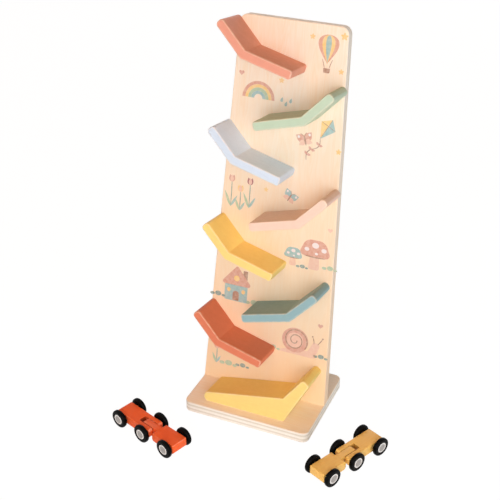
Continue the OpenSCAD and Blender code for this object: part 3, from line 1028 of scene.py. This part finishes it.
def inked_path(path, width):
    """Closed outline at half the width on both sides of a path."""
    run = np.gradient(path, axis=0)
    side = np.stack([-run[:, 1], run[:, 0]], axis=1) / np.linalg.norm(run, axis=1)[:, None]
    return np.concatenate([path + side * width / 2, (path - side * width / 2)[::-1]])


def spiral(across, up, radius, turns, width):
    """Brush stroke along a spiral that shrinks at a steady rate to about a seventh of its radius."""
    share = np.linspace(0, 1, PRINT_STEPS * 2)[:, None]
    reach = radius * (1 - 0.86 * share)
    angles = share * tau * turns - 0.6
    path = np.concatenate([reach * np.cos(angles), reach * np.sin(angles)], axis=1) + (across, up)
    return inked_path(path, width)


def moved(shapes, across, up, size=1.0, turn=0.0):
    """Outlines with their inks, each scaled, turned and then carried to its place."""
    return [(spun(outline * size, turn) + (across, up), ink) for outline, ink in shapes]


def balloon(across, up, size):
    """Striped balloon over a small basket."""
    ropes = [(stroke((s * 0.19, -0.33), (s * 0.12, -0.5), (s * 0.08, -0.67), 0.025), "umber")
             for s in (-1, 1)]
    basket = rounded([(-0.11, -0.81), (0.11, -0.81), (0.125, -0.65), (-0.125, -0.65)],
                     [0.04, 0.04, 0.02, 0.02])
    bag = [(drop(0, 0, 0.42, 1.0, pi), "pink"), (drop(0, 0, 0.26, 0.975, pi), "straw"),
           (drop(0, 0, 0.11, 0.95, pi), "teal")]
    return moved(ropes + bag + [(basket, "umber")], across, up, size)


def rainbow(across, up, size):
    """Four nested arches."""
    inks = ("pink", "straw", "sage", "teal")
    arches = [(arch(0, 0, 0.41 - 0.093 * i, 0.5 - 0.093 * i), ink) for i, ink in enumerate(inks)]
    return moved(arches, across, up, size)


def kite(across, up, size, turn):
    """Diamond in two tones with its spars, over a long tail with three bows."""
    bottom, right, top, left = (0, -0.6), (0.4, 0.12), (0, 0.5), (-0.4, 0.12)
    tail = [stroke((0, -0.6), (0.28, -0.95), (0, -1.2), 0.05),
            stroke((0, -1.2), (-0.3, -1.5), (0.02, -1.85), 0.05)]
    bows = [leaf(x, z, 0.2, 0.06, angle) for x, z in ((0.12, -0.9), (-0.06, -1.3), (-0.11, -1.6))
            for angle in (0.4, pi - 0.4)]
    shapes = [(outline, "umber") for outline in tail] + [(bow, "pink") for bow in bows]
    shapes += [(rounded([bottom, right, top, left], [0.03] * 4), "teal"),
               (rounded([bottom, top, left], [0.03] * 3), "straw"),
               (stroke(bottom, (0, 0), top, 0.03), "umber"),
               (stroke(left, (0, 0.13), right, 0.03), "umber")]
    return moved(shapes, across, up, size, turn)


def star(across, up, radius):
    """Soft five pointed star."""
    return [(lobed(across, up, radius, 5, 0.28, pi / 2), "straw")]


def rain(across, up):
    """Three slanting drops."""
    return [(drop(across + 5 * i, up - 4 * (i % 2), 1.6, 5.4, -0.25), "teal") for i in range(3)]


def butterfly(across, up, size, turn, ink):
    """Four wings, a body and two feelers."""
    wings = [(leaf(0, 0, length, length * 0.36, pi / 2 + s * lean), shade_name)
             for s in (-1, 1) for length, lean, shade_name in ((10, 0.85, ink), (7, 2.0, "blush"))]
    spots = [(oval(s * 5.2, 4.6, 1.1, 1.3), "white") for s in (-1, 1)]
    feelers = [(stroke((0, 3), (s * 1, 6), (s * 3, 7), 0.5), "umber") for s in (-1, 1)]
    shapes = wings + spots + feelers + [(oval(0, 0, 0.8, 4.2), "umber")]
    return moved(shapes, across, up, size, turn)


def tulip(across, up, height, ink):
    """Stem, two long leaves and a cup of three petals."""
    top = up + height
    return [
        (stroke((across, up), (across + 0.6, up + height / 2), (across, top), 1.1), "slate"),
        (leaf(across, up, height * 0.62, 1.5, pi / 2 + 0.42), "sage"),
        (leaf(across, up, height * 0.5, 1.4, pi / 2 - 0.5), "teal"),
        (leaf(across, top - 3.5, 8.6, 2.4, pi / 2 + 0.3), ink),
        (leaf(across, top - 3.5, 8.6, 2.4, pi / 2 - 0.3), ink),
        (leaf(across, top - 3.5, 8.2, 2.1, pi / 2), "blush"),
    ]


def mushroom(across, up, size, ink):
    """Stem with gills under a domed cap with pale spots."""
    stem = rounded([(-0.22, 0), (0.22, 0), (0.15, 0.62), (-0.15, 0.62)], [0.1, 0.1, 0.04, 0.04])
    cap = rounded([(-0.62, 0.5), (0.62, 0.5), (0.36, 1.12), (-0.36, 1.12)], [0.13, 0.13, 0.34, 0.34])
    spots = [oval(x, z, r, r * 0.82) for x, z, r in
             ((0, 0.92, 0.13), (-0.31, 0.74, 0.09), (0.33, 0.78, 0.1), (0.06, 0.62, 0.06))]
    shapes = [(stem, "blush"), (oval(0, 0.52, 0.44, 0.07), "umber"), (cap, ink)]
    shapes += [(spot, "white") for spot in spots]
    return moved(shapes, across, up, size)


def cottage(across, up, size):
    """Small house with a steep roof, a door and a round window."""
    walls = rounded([(-0.36, 0), (0.36, 0), (0.36, 0.55), (-0.36, 0.55)], [0.04] * 4)
    roof = rounded([(-0.52, 0.5), (0.52, 0.5), (0, 1.12)], [0.07, 0.07, 0.05])
    door = rounded([(-0.1, 0.02), (0.1, 0.02), (0.1, 0.32), (-0.1, 0.32)], [0, 0, 0.09, 0.09])
    chimney = rounded([(0.2, 0.62), (0.34, 0.62), (0.34, 1.0), (0.2, 1.0)], [0.02] * 4)
    shapes = [(chimney, "umber"), (walls, "teal"), (roof, "pink"), (door, "umber"),
              (oval(0, 0.72, 0.09, 0.09), "straw"), (oval(-0.23, 0.33, 0.06, 0.07), "straw"),
              (oval(0.23, 0.33, 0.06, 0.07), "straw")]
    return moved(shapes, across, up, size)


def snail(across, up, size):
    """Long foot with two feelers under a rolled shell."""
    foot = rounded([(-0.62, 0), (0.6, 0), (0.74, 0.5), (0.52, 0.54), (0.36, 0.2), (-0.3, 0.16)],
                   [0.02, 0.12, 0.09, 0.09, 0.1, 0.05])
    feelers = [stroke((0.6 + s * 0.06, 0.48), (0.64 + s * 0.1, 0.6), (0.64 + s * 0.16, 0.7), 0.03)
               for s in (-1, 1)]
    tips = [oval(0.64 + s * 0.16, 0.71, 0.025, 0.025) for s in (-1, 1)]
    shapes = [(foot, "blush"), *((f, "umber") for f in feelers), *((t, "umber") for t in tips),
              (oval(-0.06, 0.46, 0.42, 0.4), "pink"), (oval(-0.06, 0.46, 0.26, 0.25), "blush"),
              (spiral(-0.06, 0.46, 0.4, 2.1, 0.035), "umber")]
    return moved(shapes, across, up, size)


def pebbles(across, up, size, ink):
    """Three oval stones in a row, the middle one largest."""
    return [(oval(across + size * out, up + size * high, size * half_width, size * high), ink)
            for out, half_width, high in ((-0.6, 0.24, 0.15), (0.0, 0.32, 0.24), (0.56, 0.2, 0.12))]


def heart(across, up, size, ink):
    """Two round lobes over a point: the cube of a sine across, and four cosines up."""
    angles = np.linspace(0, tau, PRINT_STEPS, endpoint=False)
    wide = np.sin(angles) ** 3
    high = (13 * np.cos(angles) - 5 * np.cos(2 * angles) - 2 * np.cos(3 * angles)
            - np.cos(4 * angles)) / 16
    return [(np.stack([wide, high], axis=1) * size / 2 + (across, up), ink)]


def print_layout():
    """All motifs on the board, placed one by one in millimetres across and up its face."""
    return [
        balloon(40, 405, 30), star(56, 420, 3.2), star(22, 416, 2.4), star(56, 384, 2.4),
        rainbow(-33, 343, 37), rain(-6, 346), star(-8, 366, 2.4), heart(-54, 368, 6, "pink"),
        kite(47, 323, 23, -0.5), butterfly(24, 306, 1.2, 0.3, "pink"), star(62, 300, 2.6),
        butterfly(12, 240, 1.1, -0.5, "teal"), star(-16, 244, 2.2),
        tulip(-57, 217, 32, "pink"), tulip(-46, 214, 25, "straw"), tulip(-35, 219, 30, "wine"),
        mushroom(47, 163, 31, "pink"), mushroom(22, 163, 19, "teal"), pebbles(66, 166, 11, "sage"),
        pebbles(34, 162, 9, "slate"), heart(62, 212, 5.5, "blush"),
        cottage(-43, 104, 39), pebbles(-65, 106, 12, "slate"), pebbles(-20, 104, 13, "sage"),
        snail(36, 56, 38), pebbles(8, 56, 11, "sage"), heart(62, 98, 6, "pink"),
        pebbles(66, 58, 11, "slate"),
        tulip(-62, 20, 22, "pink"), pebbles(-46, 20, 14, "sage"), pebbles(-28, 22, 11, "slate"),
    ]


# Operators: one for each piece or group of like pieces, and one for the stage

class TRACKTOWER_OT_stage(bpy.types.Operator):
    """Set the camera, five soft lamps, a pale floor and a white surrounding"""
    bl_idname = "track_tower.stage"
    bl_label = "Set Stage"

    def execute(self, context):
        settings = context.scene.tower_stage
        context.scene.view_settings.view_transform = "Standard"
        lens = bpy.data.cameras.new("camera")
        lens.lens = settings.lens
        camera = bpy.data.objects.new("camera", lens)
        camera.location = settings.camera_place
        camera.rotation_euler = (pi / 2 - settings.camera_pitch, 0, settings.camera_yaw)
        context.scene.collection.objects.link(camera)
        context.scene.camera = camera
        for name, (spot, width, tint) in LAMPS.items():
            self.lamp(f"{name}_lamp", spot, width, getattr(settings, f"{name}_power"), tint)
        self.surround(settings)
        self.floor(settings)
        return {"FINISHED"}

    def lamp(self, name, spot, width, power, tint):
        """Soft square lamp aimed at the tower."""
        light = bpy.data.lights.new(name, "AREA")
        light.size = width
        light.energy = power
        light.color = tint
        lamp = bpy.data.objects.new(name, light)
        lamp.location = spot
        lamp.rotation_euler = (LAMP_AIM - Vector(spot)).to_track_quat("-Z", "Y").to_euler()
        bpy.context.scene.collection.objects.link(lamp)

    def surround(self, settings):
        """World that lights at the ambient strength and shows as white."""
        world = bpy.data.worlds.new("white_surround")
        graph = Graph(world)
        strength = graph.node("ShaderNodeMapRange", None,
                              {"Value": graph.shown(), "To Min": settings.ambient, "To Max": 1.0})
        graph.fill("Background", {"Color": (*WHITE, 1), "Strength": strength})
        bpy.context.scene.world = world

    def floor(self, settings):
        """Flat square floor of square cells at height 0."""
        line = np.linspace(-0.5, 0.5, settings.floor_cells + 1) * settings.floor_size
        across, along = np.meshgrid(line, line)
        points = np.stack([across.ravel(), along.ravel(), np.zeros(across.size)], axis=1)
        index = np.arange(points.shape[0]).reshape(across.shape)
        cells = np.stack([index[:-1, :-1], index[:-1, 1:], index[1:, 1:], index[1:, :-1]], axis=2)
        mesh = bpy.data.meshes.new("pale_floor")
        mesh.from_pydata(points.tolist(), [], cells.reshape(-1, 4).tolist())
        mesh.materials.append(floor_white(settings))
        floor = bpy.data.objects.new("pale_floor", mesh)
        bpy.context.scene.collection.objects.link(floor)


class TRACKTOWER_OT_base(bpy.types.Operator):
    """Make the plywood base with its softened edges and screw wells"""
    bl_idname = "track_tower.base"
    bl_label = "Base"

    def execute(self, context):
        sizes = context.scene.tower_sizes
        screws = context.scene.screw_sizes
        tints = context.scene.tower_colours
        half = (BASE_HI - BASE_LO) / 2
        thickness = BASE_HI.z - BASE_LO.z
        plate = slab(oblong(half.x, half.y, sizes.base_corner), 0, thickness,
                     sizes.plate_edge, sizes.plate_edge)
        mesh = closed_mesh("base", [plate], base_frame())
        radius = screws.head / 2 + sizes.glued_edge
        well = turned([(radius, -thickness), (radius, screws.cone)], SCREW_STEPS)
        for spot in base_screw_frames():
            mesh = cut(mesh, [well], spot)
        turn_out(mesh)
        grain = wood_frame(Matrix.Translation((0, 0, BASE_LO.z)), (1, 0, 0), (0, 0, 1))
        wood = plywood("base_plywood", grain, thickness, tints.base_face, tints.base_grain)
        new_piece("plywood_base", mesh, wood, TOWER, "base_wood", "base_plate")
        return {"FINISHED"}


class TRACKTOWER_OT_board(bpy.types.Operator):
    """Make the leaning plywood board with its countersinks"""
    bl_idname = "track_tower.board"
    bl_label = "Board"

    def execute(self, context):
        sizes = context.scene.tower_sizes
        screws = context.scene.screw_sizes
        tints = context.scene.tower_colours
        # The foot reaches below the base's top, which then cuts it level
        top = sizes.board_length
        foot = -sizes.board_thickness * tan(sizes.lean) - 2 * MM
        corners = [(-board_half(foot), foot), (board_half(foot), foot),
                   (board_half(top), top), (-board_half(top), top)]
        outline = rounded(corners, [0, 0, sizes.board_corner, sizes.board_corner])
        board = slab(outline, 0, sizes.board_thickness, sizes.plate_edge, sizes.plate_edge)
        mesh = above_base(closed_mesh("board", [board], board_frame()))
        back = sizes.board_thickness
        head, shank = screws.head / 2 + SINK_GAP, screws.shank / 2 + SINK_GAP
        sink = [(head, back + MM), (head, back), (shank, back - screws.cone),
                (shank, back - 1.5 * screws.cone)]
        cones = [turned(sink, SCREW_STEPS).carried((across, 0, up)) for across, up in screw_places()]
        mesh = cut(mesh, cones, board_frame())
        turn_out(mesh)
        # Painted warm bounce light towards the board's foot
        wood = plywood("board_plywood", board_grain(), sizes.board_thickness,
                       tints.board_face, tints.board_grain, painted_bounce_start=0.75)
        new_piece("plywood_board", mesh, wood, TOWER, "board_wood", "upright_board")
        return {"FINISHED"}


class TRACKTOWER_OT_print(bpy.types.Operator):
    """Print the motifs on the board's face"""
    bl_idname = "track_tower.print"
    bl_label = "Print"

    def execute(self, context):
        tints = context.scene.tower_colours
        skins, inks = [], []
        for motif in print_layout():
            for rank, (outline, ink) in enumerate(motif):
                over = rank * PRINT_LAYER
                skins.append(slab(outline * MM, -PRINT_FILM - over, PRINT_BED + over))
                inks.append(getattr(tints, f"ink_{ink}"))
        mesh = closed_mesh("print", skins, board_frame(), inks)
        new_piece("board_print", mesh, printed_ink(board_grain()), TOWER, "board_wood")
        return {"FINISHED"}


class TRACKTOWER_OT_ramps(bpy.types.Operator):
    """Make the seven bent ramps"""
    bl_idname = "track_tower.ramps"
    bl_label = "Ramps"

    def execute(self, context):
        sizes = context.scene.tower_sizes
        tints = context.scene.tower_colours
        for node, (tint, side) in RAMPS.items():
            bent = slab(ramp_outline(side), -sizes.ramp_depth, 0, sizes.ramp_edge, sizes.glued_edge)
            corner = ramp_corner(node, side)
            spot = board_frame() @ Matrix.Translation((corner[0], 0, corner[1]))
            grain = spot @ Matrix.Rotation(-side * sizes.run_slope, 4, "Y")
            # The sky ramp's running face gets no painted top shade and keeps the colour of its front
            dust_and_top_shade = {"yellow": tints.yellow_top_shade, "sky": None}.get(tint, tints.ramp_top_shade)
            finish = paint(f"{tint}_paint", getattr(tints, tint), grain, top_shade=dust_and_top_shade)
            new_piece(f"{node}_painted", closed_mesh(node, [bent], spot), finish, TOWER,
                      f"{tint}_paint", node)
        return {"FINISHED"}


class TRACKTOWER_OT_foot_ramp(bpy.types.Operator):
    """Make the wedge at the tower's foot"""
    bl_idname = "track_tower.foot_ramp"
    bl_label = "Foot Ramp"

    def execute(self, context):
        sizes = context.scene.tower_sizes
        tints = context.scene.tower_colours
        wedge = slab(foot_ramp_outline(), -sizes.ramp_depth, 0, sizes.ramp_edge, sizes.glued_edge)
        mesh = above_base(closed_mesh("foot_ramp", [wedge], board_frame()))
        turn_out(mesh)
        # Painted shade on the foot ramp's upward running face
        finish = paint("foot_paint", tints.yellow, board_frame(), top_shade=tints.yellow_top_shade)
        new_piece("foot_ramp_painted", mesh, finish, TOWER, "yellow_paint", "foot_ramp")
        return {"FINISHED"}


class TRACKTOWER_OT_screws(bpy.types.Operator):
    """Make the wood screws with crossed heads"""
    bl_idname = "track_tower.screws"
    bl_label = "Screws"

    def execute(self, context):
        sizes = context.scene.tower_sizes
        screws = context.scene.screw_sizes
        metal = steel("screw_steel", context.scene.tower_colours.steel)
        head, shank = screws.head / 2, screws.shank / 2
        tip, lip, eye = shank * 0.3, head * 0.12, head * 0.3
        long = sizes.board_thickness + screws.bite
        sunk = [(eye, 0), (head - lip, 0), (head, lip / 2), (shank, screws.cone),
                (shank, long - 2 * shank), (tip, long)]
        behind = board_frame() @ Matrix.Translation((0, sizes.board_thickness, 0))
        frames = [behind @ Matrix.Translation((across, 0, up)) @ Matrix.Rotation(pi, 4, "Z")
                  for across, up in screw_places()]
        new_piece("ramp_screws_crossed", screw_mesh("ramp_screws", sunk, frames), metal,
                  TOWER, "screw_steel", "ramp_screws")
        tall = screws.cone + screws.bite + (BASE_HI.z - BASE_LO.z) - screws.well
        pan = [(eye, 0), (head - lip, 0), (head, lip), (head, screws.cone),
               (shank, screws.cone), (shank, tall - 2 * shank), (tip, tall)]
        new_piece("base_screws_crossed", screw_mesh("base_screws", pan, base_screw_frames()), metal,
                  TOWER, "screw_steel", "base_screws")
        return {"FINISHED"}


class TRACKTOWER_OT_blocks(bpy.types.Operator):
    """Make the cars' fork and tongue blocks"""
    bl_idname = "track_tower.blocks"
    bl_label = "Car Blocks"

    def execute(self, context):
        tints = context.scene.tower_colours
        finishes = {
            "red_car": (paint("red_paint", tints.red, car_frame("red_car"), jointed=True), "red_paint"),
            "natural_car": (lacquered_wood("natural_wood", tints.natural, tints.natural_grain,
                                           car_frame("natural_car")), "natural_wood"),
        }
        for car, (finish, slot_name) in finishes.items():
            for part, mesh in (("fork", self.fork(context, car)), ("tongue", self.tongue(context, car))):
                new_piece(f"{car}_{part}_wood", mesh, finish, f"{car}_{part}", slot_name,
                          f"{car}_{part}_block")
        return {"FINISHED"}

    def side_slab(self, sizes, start, end, start_corner, end_corner, width):
        """Rounded side view of a block, carried across its width."""
        low = sizes.clearance
        high = low + sizes.block_height
        outline = rounded([(start, low), (end, low), (end, high), (start, high)],
                          [start_corner, end_corner, end_corner, start_corner])
        return slab(outline, -width / 2, width / 2)

    def bore(self, sizes, along):
        """Hole for an axle across a block."""
        radius = sizes.axle_diameter / 2 + sizes.axle_gap
        hole = turned([(radius, -sizes.block_width), (radius, sizes.block_width)], SCREW_STEPS)
        return hole.carried((along, 0, WHEEL_DIAMETER / 2))

    def softened(self, mesh, sizes, car):
        """Mesh with its sharp edges rounded. Its edge share, for rubbing and painted highlight, grows
        with what the largest part of a normal, along the car's own axes, lacks of one."""
        mesh = worked(mesh, "BEVEL", width=sizes.block_edge, segments=BLOCK_EDGE_STRIPS,
                      limit_method="ANGLE", angle_limit=BLOCK_EDGE_ANGLE)
        turn_out(mesh)
        normals = np.empty(len(mesh.vertices) * 3)
        mesh.vertex_normals.foreach_get("vector", normals)
        turned_back = np.abs(normals.reshape(-1, 3) @ np.array(car_frame(car).to_3x3()))
        wear = np.clip((1 - turned_back.max(axis=1)) * WEAR_AND_HIGHLIGHT_GAIN, 0, 1)
        mesh.attributes["wear"].data.foreach_set("value", wear)
        return mesh

    def fork(self, context, car):
        """Block with a slot between two ears and bores for the rear and middle axles."""
        sizes = context.scene.car_sizes
        spacing = axle_spacing(car)
        body = self.side_slab(sizes, -spacing - sizes.overhang, sizes.ear_reach, sizes.block_corner,
                              sizes.joint_corner, sizes.block_width)
        half = sizes.tongue_width / 2 + sizes.side_gap
        box = rounded([(-sizes.slot_reach, -MM), (spacing, -MM), (spacing, WHEEL_DIAMETER),
                       (-sizes.slot_reach, WHEEL_DIAMETER)], [0] * 4)
        mesh = closed_mesh("fork", [body], car_frame(car))
        for tool in (slab(box, -half, half), self.bore(sizes, -spacing), self.bore(sizes, 0)):
            mesh = cut(mesh, [tool], car_frame(car))
        return self.softened(mesh, sizes, car)

    def tongue(self, context, car):
        """Block with a narrow tongue and bores for the middle and front axles."""
        sizes = context.scene.car_sizes
        spacing = axle_spacing(car)
        body = self.side_slab(sizes, sizes.shoulder_reach, spacing + sizes.overhang,
                              sizes.joint_corner, sizes.block_corner, sizes.block_width)
        tongue = self.side_slab(sizes, -sizes.tongue_reach, spacing, sizes.joint_corner,
                                sizes.block_corner, sizes.tongue_width)
        mesh = joined_to(closed_mesh("body", [body], car_frame(car)),
                         closed_mesh("tongue", [tongue], car_frame(car)), "UNION")
        for along in (0, spacing):
            mesh = cut(mesh, [self.bore(sizes, along)], car_frame(car))
        return self.softened(mesh, sizes, car)


class TRACKTOWER_OT_wheels(bpy.types.Operator):
    """Make the tyres and hubs, and finish the steel axles"""
    bl_idname = "track_tower.wheels"
    bl_label = "Wheels"

    def execute(self, context):
        sizes = context.scene.car_sizes
        tints = context.scene.tower_colours
        tyre, hub = rubber(tints.tyre), hub_metal(tints.hub, tints.hub_rim_highlight)
        rod = steel("axle_steel", tints.steel)
        for car in CARS:
            for index, axle in enumerate(AXLES):
                body = f"{car}_{axle}_wheels"
                along = (index - 1) * axle_spacing(car)
                spot = car_frame(car) @ Matrix.Translation((along, 0, WHEEL_DIAMETER / 2))
                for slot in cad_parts[f"{car}_{axle}_axle"].material_slots:
                    slot.material = rod
                for side, sign in WHEEL_SIDES.items():
                    name = f"{car}_{axle}_{side}"
                    out = spot @ Matrix.Scale(sign, 4, (0, 1, 0))
                    new_piece(f"{name}_rubber", closed_mesh(name, [self.tyre(sizes)], out), tyre, body,
                              "tyre_black", f"{name}_tyre")
                    new_piece(f"{name}_disc", closed_mesh(name, [self.hub(sizes)], out), hub, body,
                              "hub_grey", f"{name}_hub")
        return {"FINISHED"}

    def tyre(self, sizes):
        """Ring with shoulders in quarter circles, a three point lip and a shallow groove on its
        outer wall, and a thin flange over the hub's inner side."""
        radius = WHEEL_DIAMETER / 2
        bore = sizes.hub_diameter / 2
        half = sizes.tyre_width / 2
        lip = [(bore, half - TYRE_LIP), (bore + TYRE_LIP * 0.3, half - TYRE_LIP * 0.3),
               (bore + TYRE_LIP, half)]
        groove = [(bore + reach, half - depth) for reach, depth in TYRE_GROOVE]
        turns = np.linspace(0, pi / 2, ARC_STEPS + 1)
        shoulder = np.stack([radius - sizes.tyre_shoulder * (1 - np.sin(turns)),
                             half - sizes.tyre_shoulder * (1 - np.cos(turns))], axis=1)
        boss = sizes.boss_diameter / 2 + BOSS_GAP
        flange = [(boss, -half), (boss, sizes.flange - half), (bore, sizes.flange - half)]
        profile = np.concatenate([lip, groove, shoulder, [(radius, 0)], shoulder[::-1] * (1, -1),
                                  flange])
        return turned(profile + (0, sizes.track_width / 2 - half), WHEEL_STEPS, looped=True)

    def hub(self, sizes):
        """Disc with a boss towards the block, a round rim and a shallow dished face."""
        outside = sizes.track_width / 2
        rim = sizes.hub_diameter / 2
        rod = sizes.axle_diameter / 2 + HUB_FIT
        blind = outside - sizes.hub_cap + HUB_FIT
        boss = sizes.boss_diameter / 2
        near = sizes.block_width / 2 + BLOCK_GAP
        back = outside - sizes.tyre_width + sizes.flange + FLANGE_GAP
        turns = np.linspace(0, pi / 2, EDGE_STEPS + 1)
        edge = [(rim - HUB_RIM * (1 - cos(turn)), outside - HUB_RIM * (1 - sin(turn)))
                for turn in turns]
        face = [(rim * share, outside + HUB_DISH * rise) for share, rise in HUB_FACE]
        eye = rod * 0.2
        profile = [(eye, blind), (rod, blind), (rod, near), (boss, near), (boss, back),
                   (rim, back), *edge, *face]
        # The rim's points carry the share of the painted highlight
        rim_highlight_share = [float(point in edge or point == face[0]) for point in profile]
        return turned(profile, WHEEL_STEPS, wear=rim_highlight_share)


class TRACKTOWER_PT_panel(bpy.types.Panel):
    """Buttons for the stage and every group of pieces"""
    bl_idname = "TRACKTOWER_PT_panel"
    bl_label = "Track Tower"
    bl_space_type = "VIEW_3D"
    bl_region_type = "UI"
    bl_category = "Track Tower"

    def draw(self, context):
        for operator in OPERATORS:
            self.layout.operator(operator.bl_idname)


SETTINGS = {
    "tower_sizes": TowerSizes,
    "foot_ramp_sizes": FootRampSizes,
    "car_sizes": CarSizes,
    "screw_sizes": ScrewSizes,
    "tower_colours": Colours,
    "tower_stage": StageSettings,
}
OPERATORS = (
    TRACKTOWER_OT_stage, TRACKTOWER_OT_base, TRACKTOWER_OT_board, TRACKTOWER_OT_print,
    TRACKTOWER_OT_ramps, TRACKTOWER_OT_foot_ramp, TRACKTOWER_OT_screws, TRACKTOWER_OT_blocks,
    TRACKTOWER_OT_wheels,
)
CLASSES = (*SETTINGS.values(), *OPERATORS, TRACKTOWER_PT_panel)


def register():
    """Registers every class and hangs the settings on the scene."""
    for item in CLASSES:
        bpy.utils.register_class(item)
    for word, group in SETTINGS.items():
        setattr(bpy.types.Scene, word, PointerProperty(type=group))


def unregister():
    """Takes the settings and classes away again."""
    for word in SETTINGS:
        delattr(bpy.types.Scene, word)
    for item in reversed(CLASSES):
        bpy.utils.unregister_class(item)


def main():
    """Makes the stage and all pieces."""
    register()
    bpy.ops.track_tower.stage()
    bpy.ops.track_tower.base()
    bpy.ops.track_tower.board()
    bpy.ops.track_tower.print()
    bpy.ops.track_tower.ramps()
    bpy.ops.track_tower.foot_ramp()
    bpy.ops.track_tower.screws()
    bpy.ops.track_tower.blocks()
    bpy.ops.track_tower.wheels()


if __name__ == "__main__":
    main()
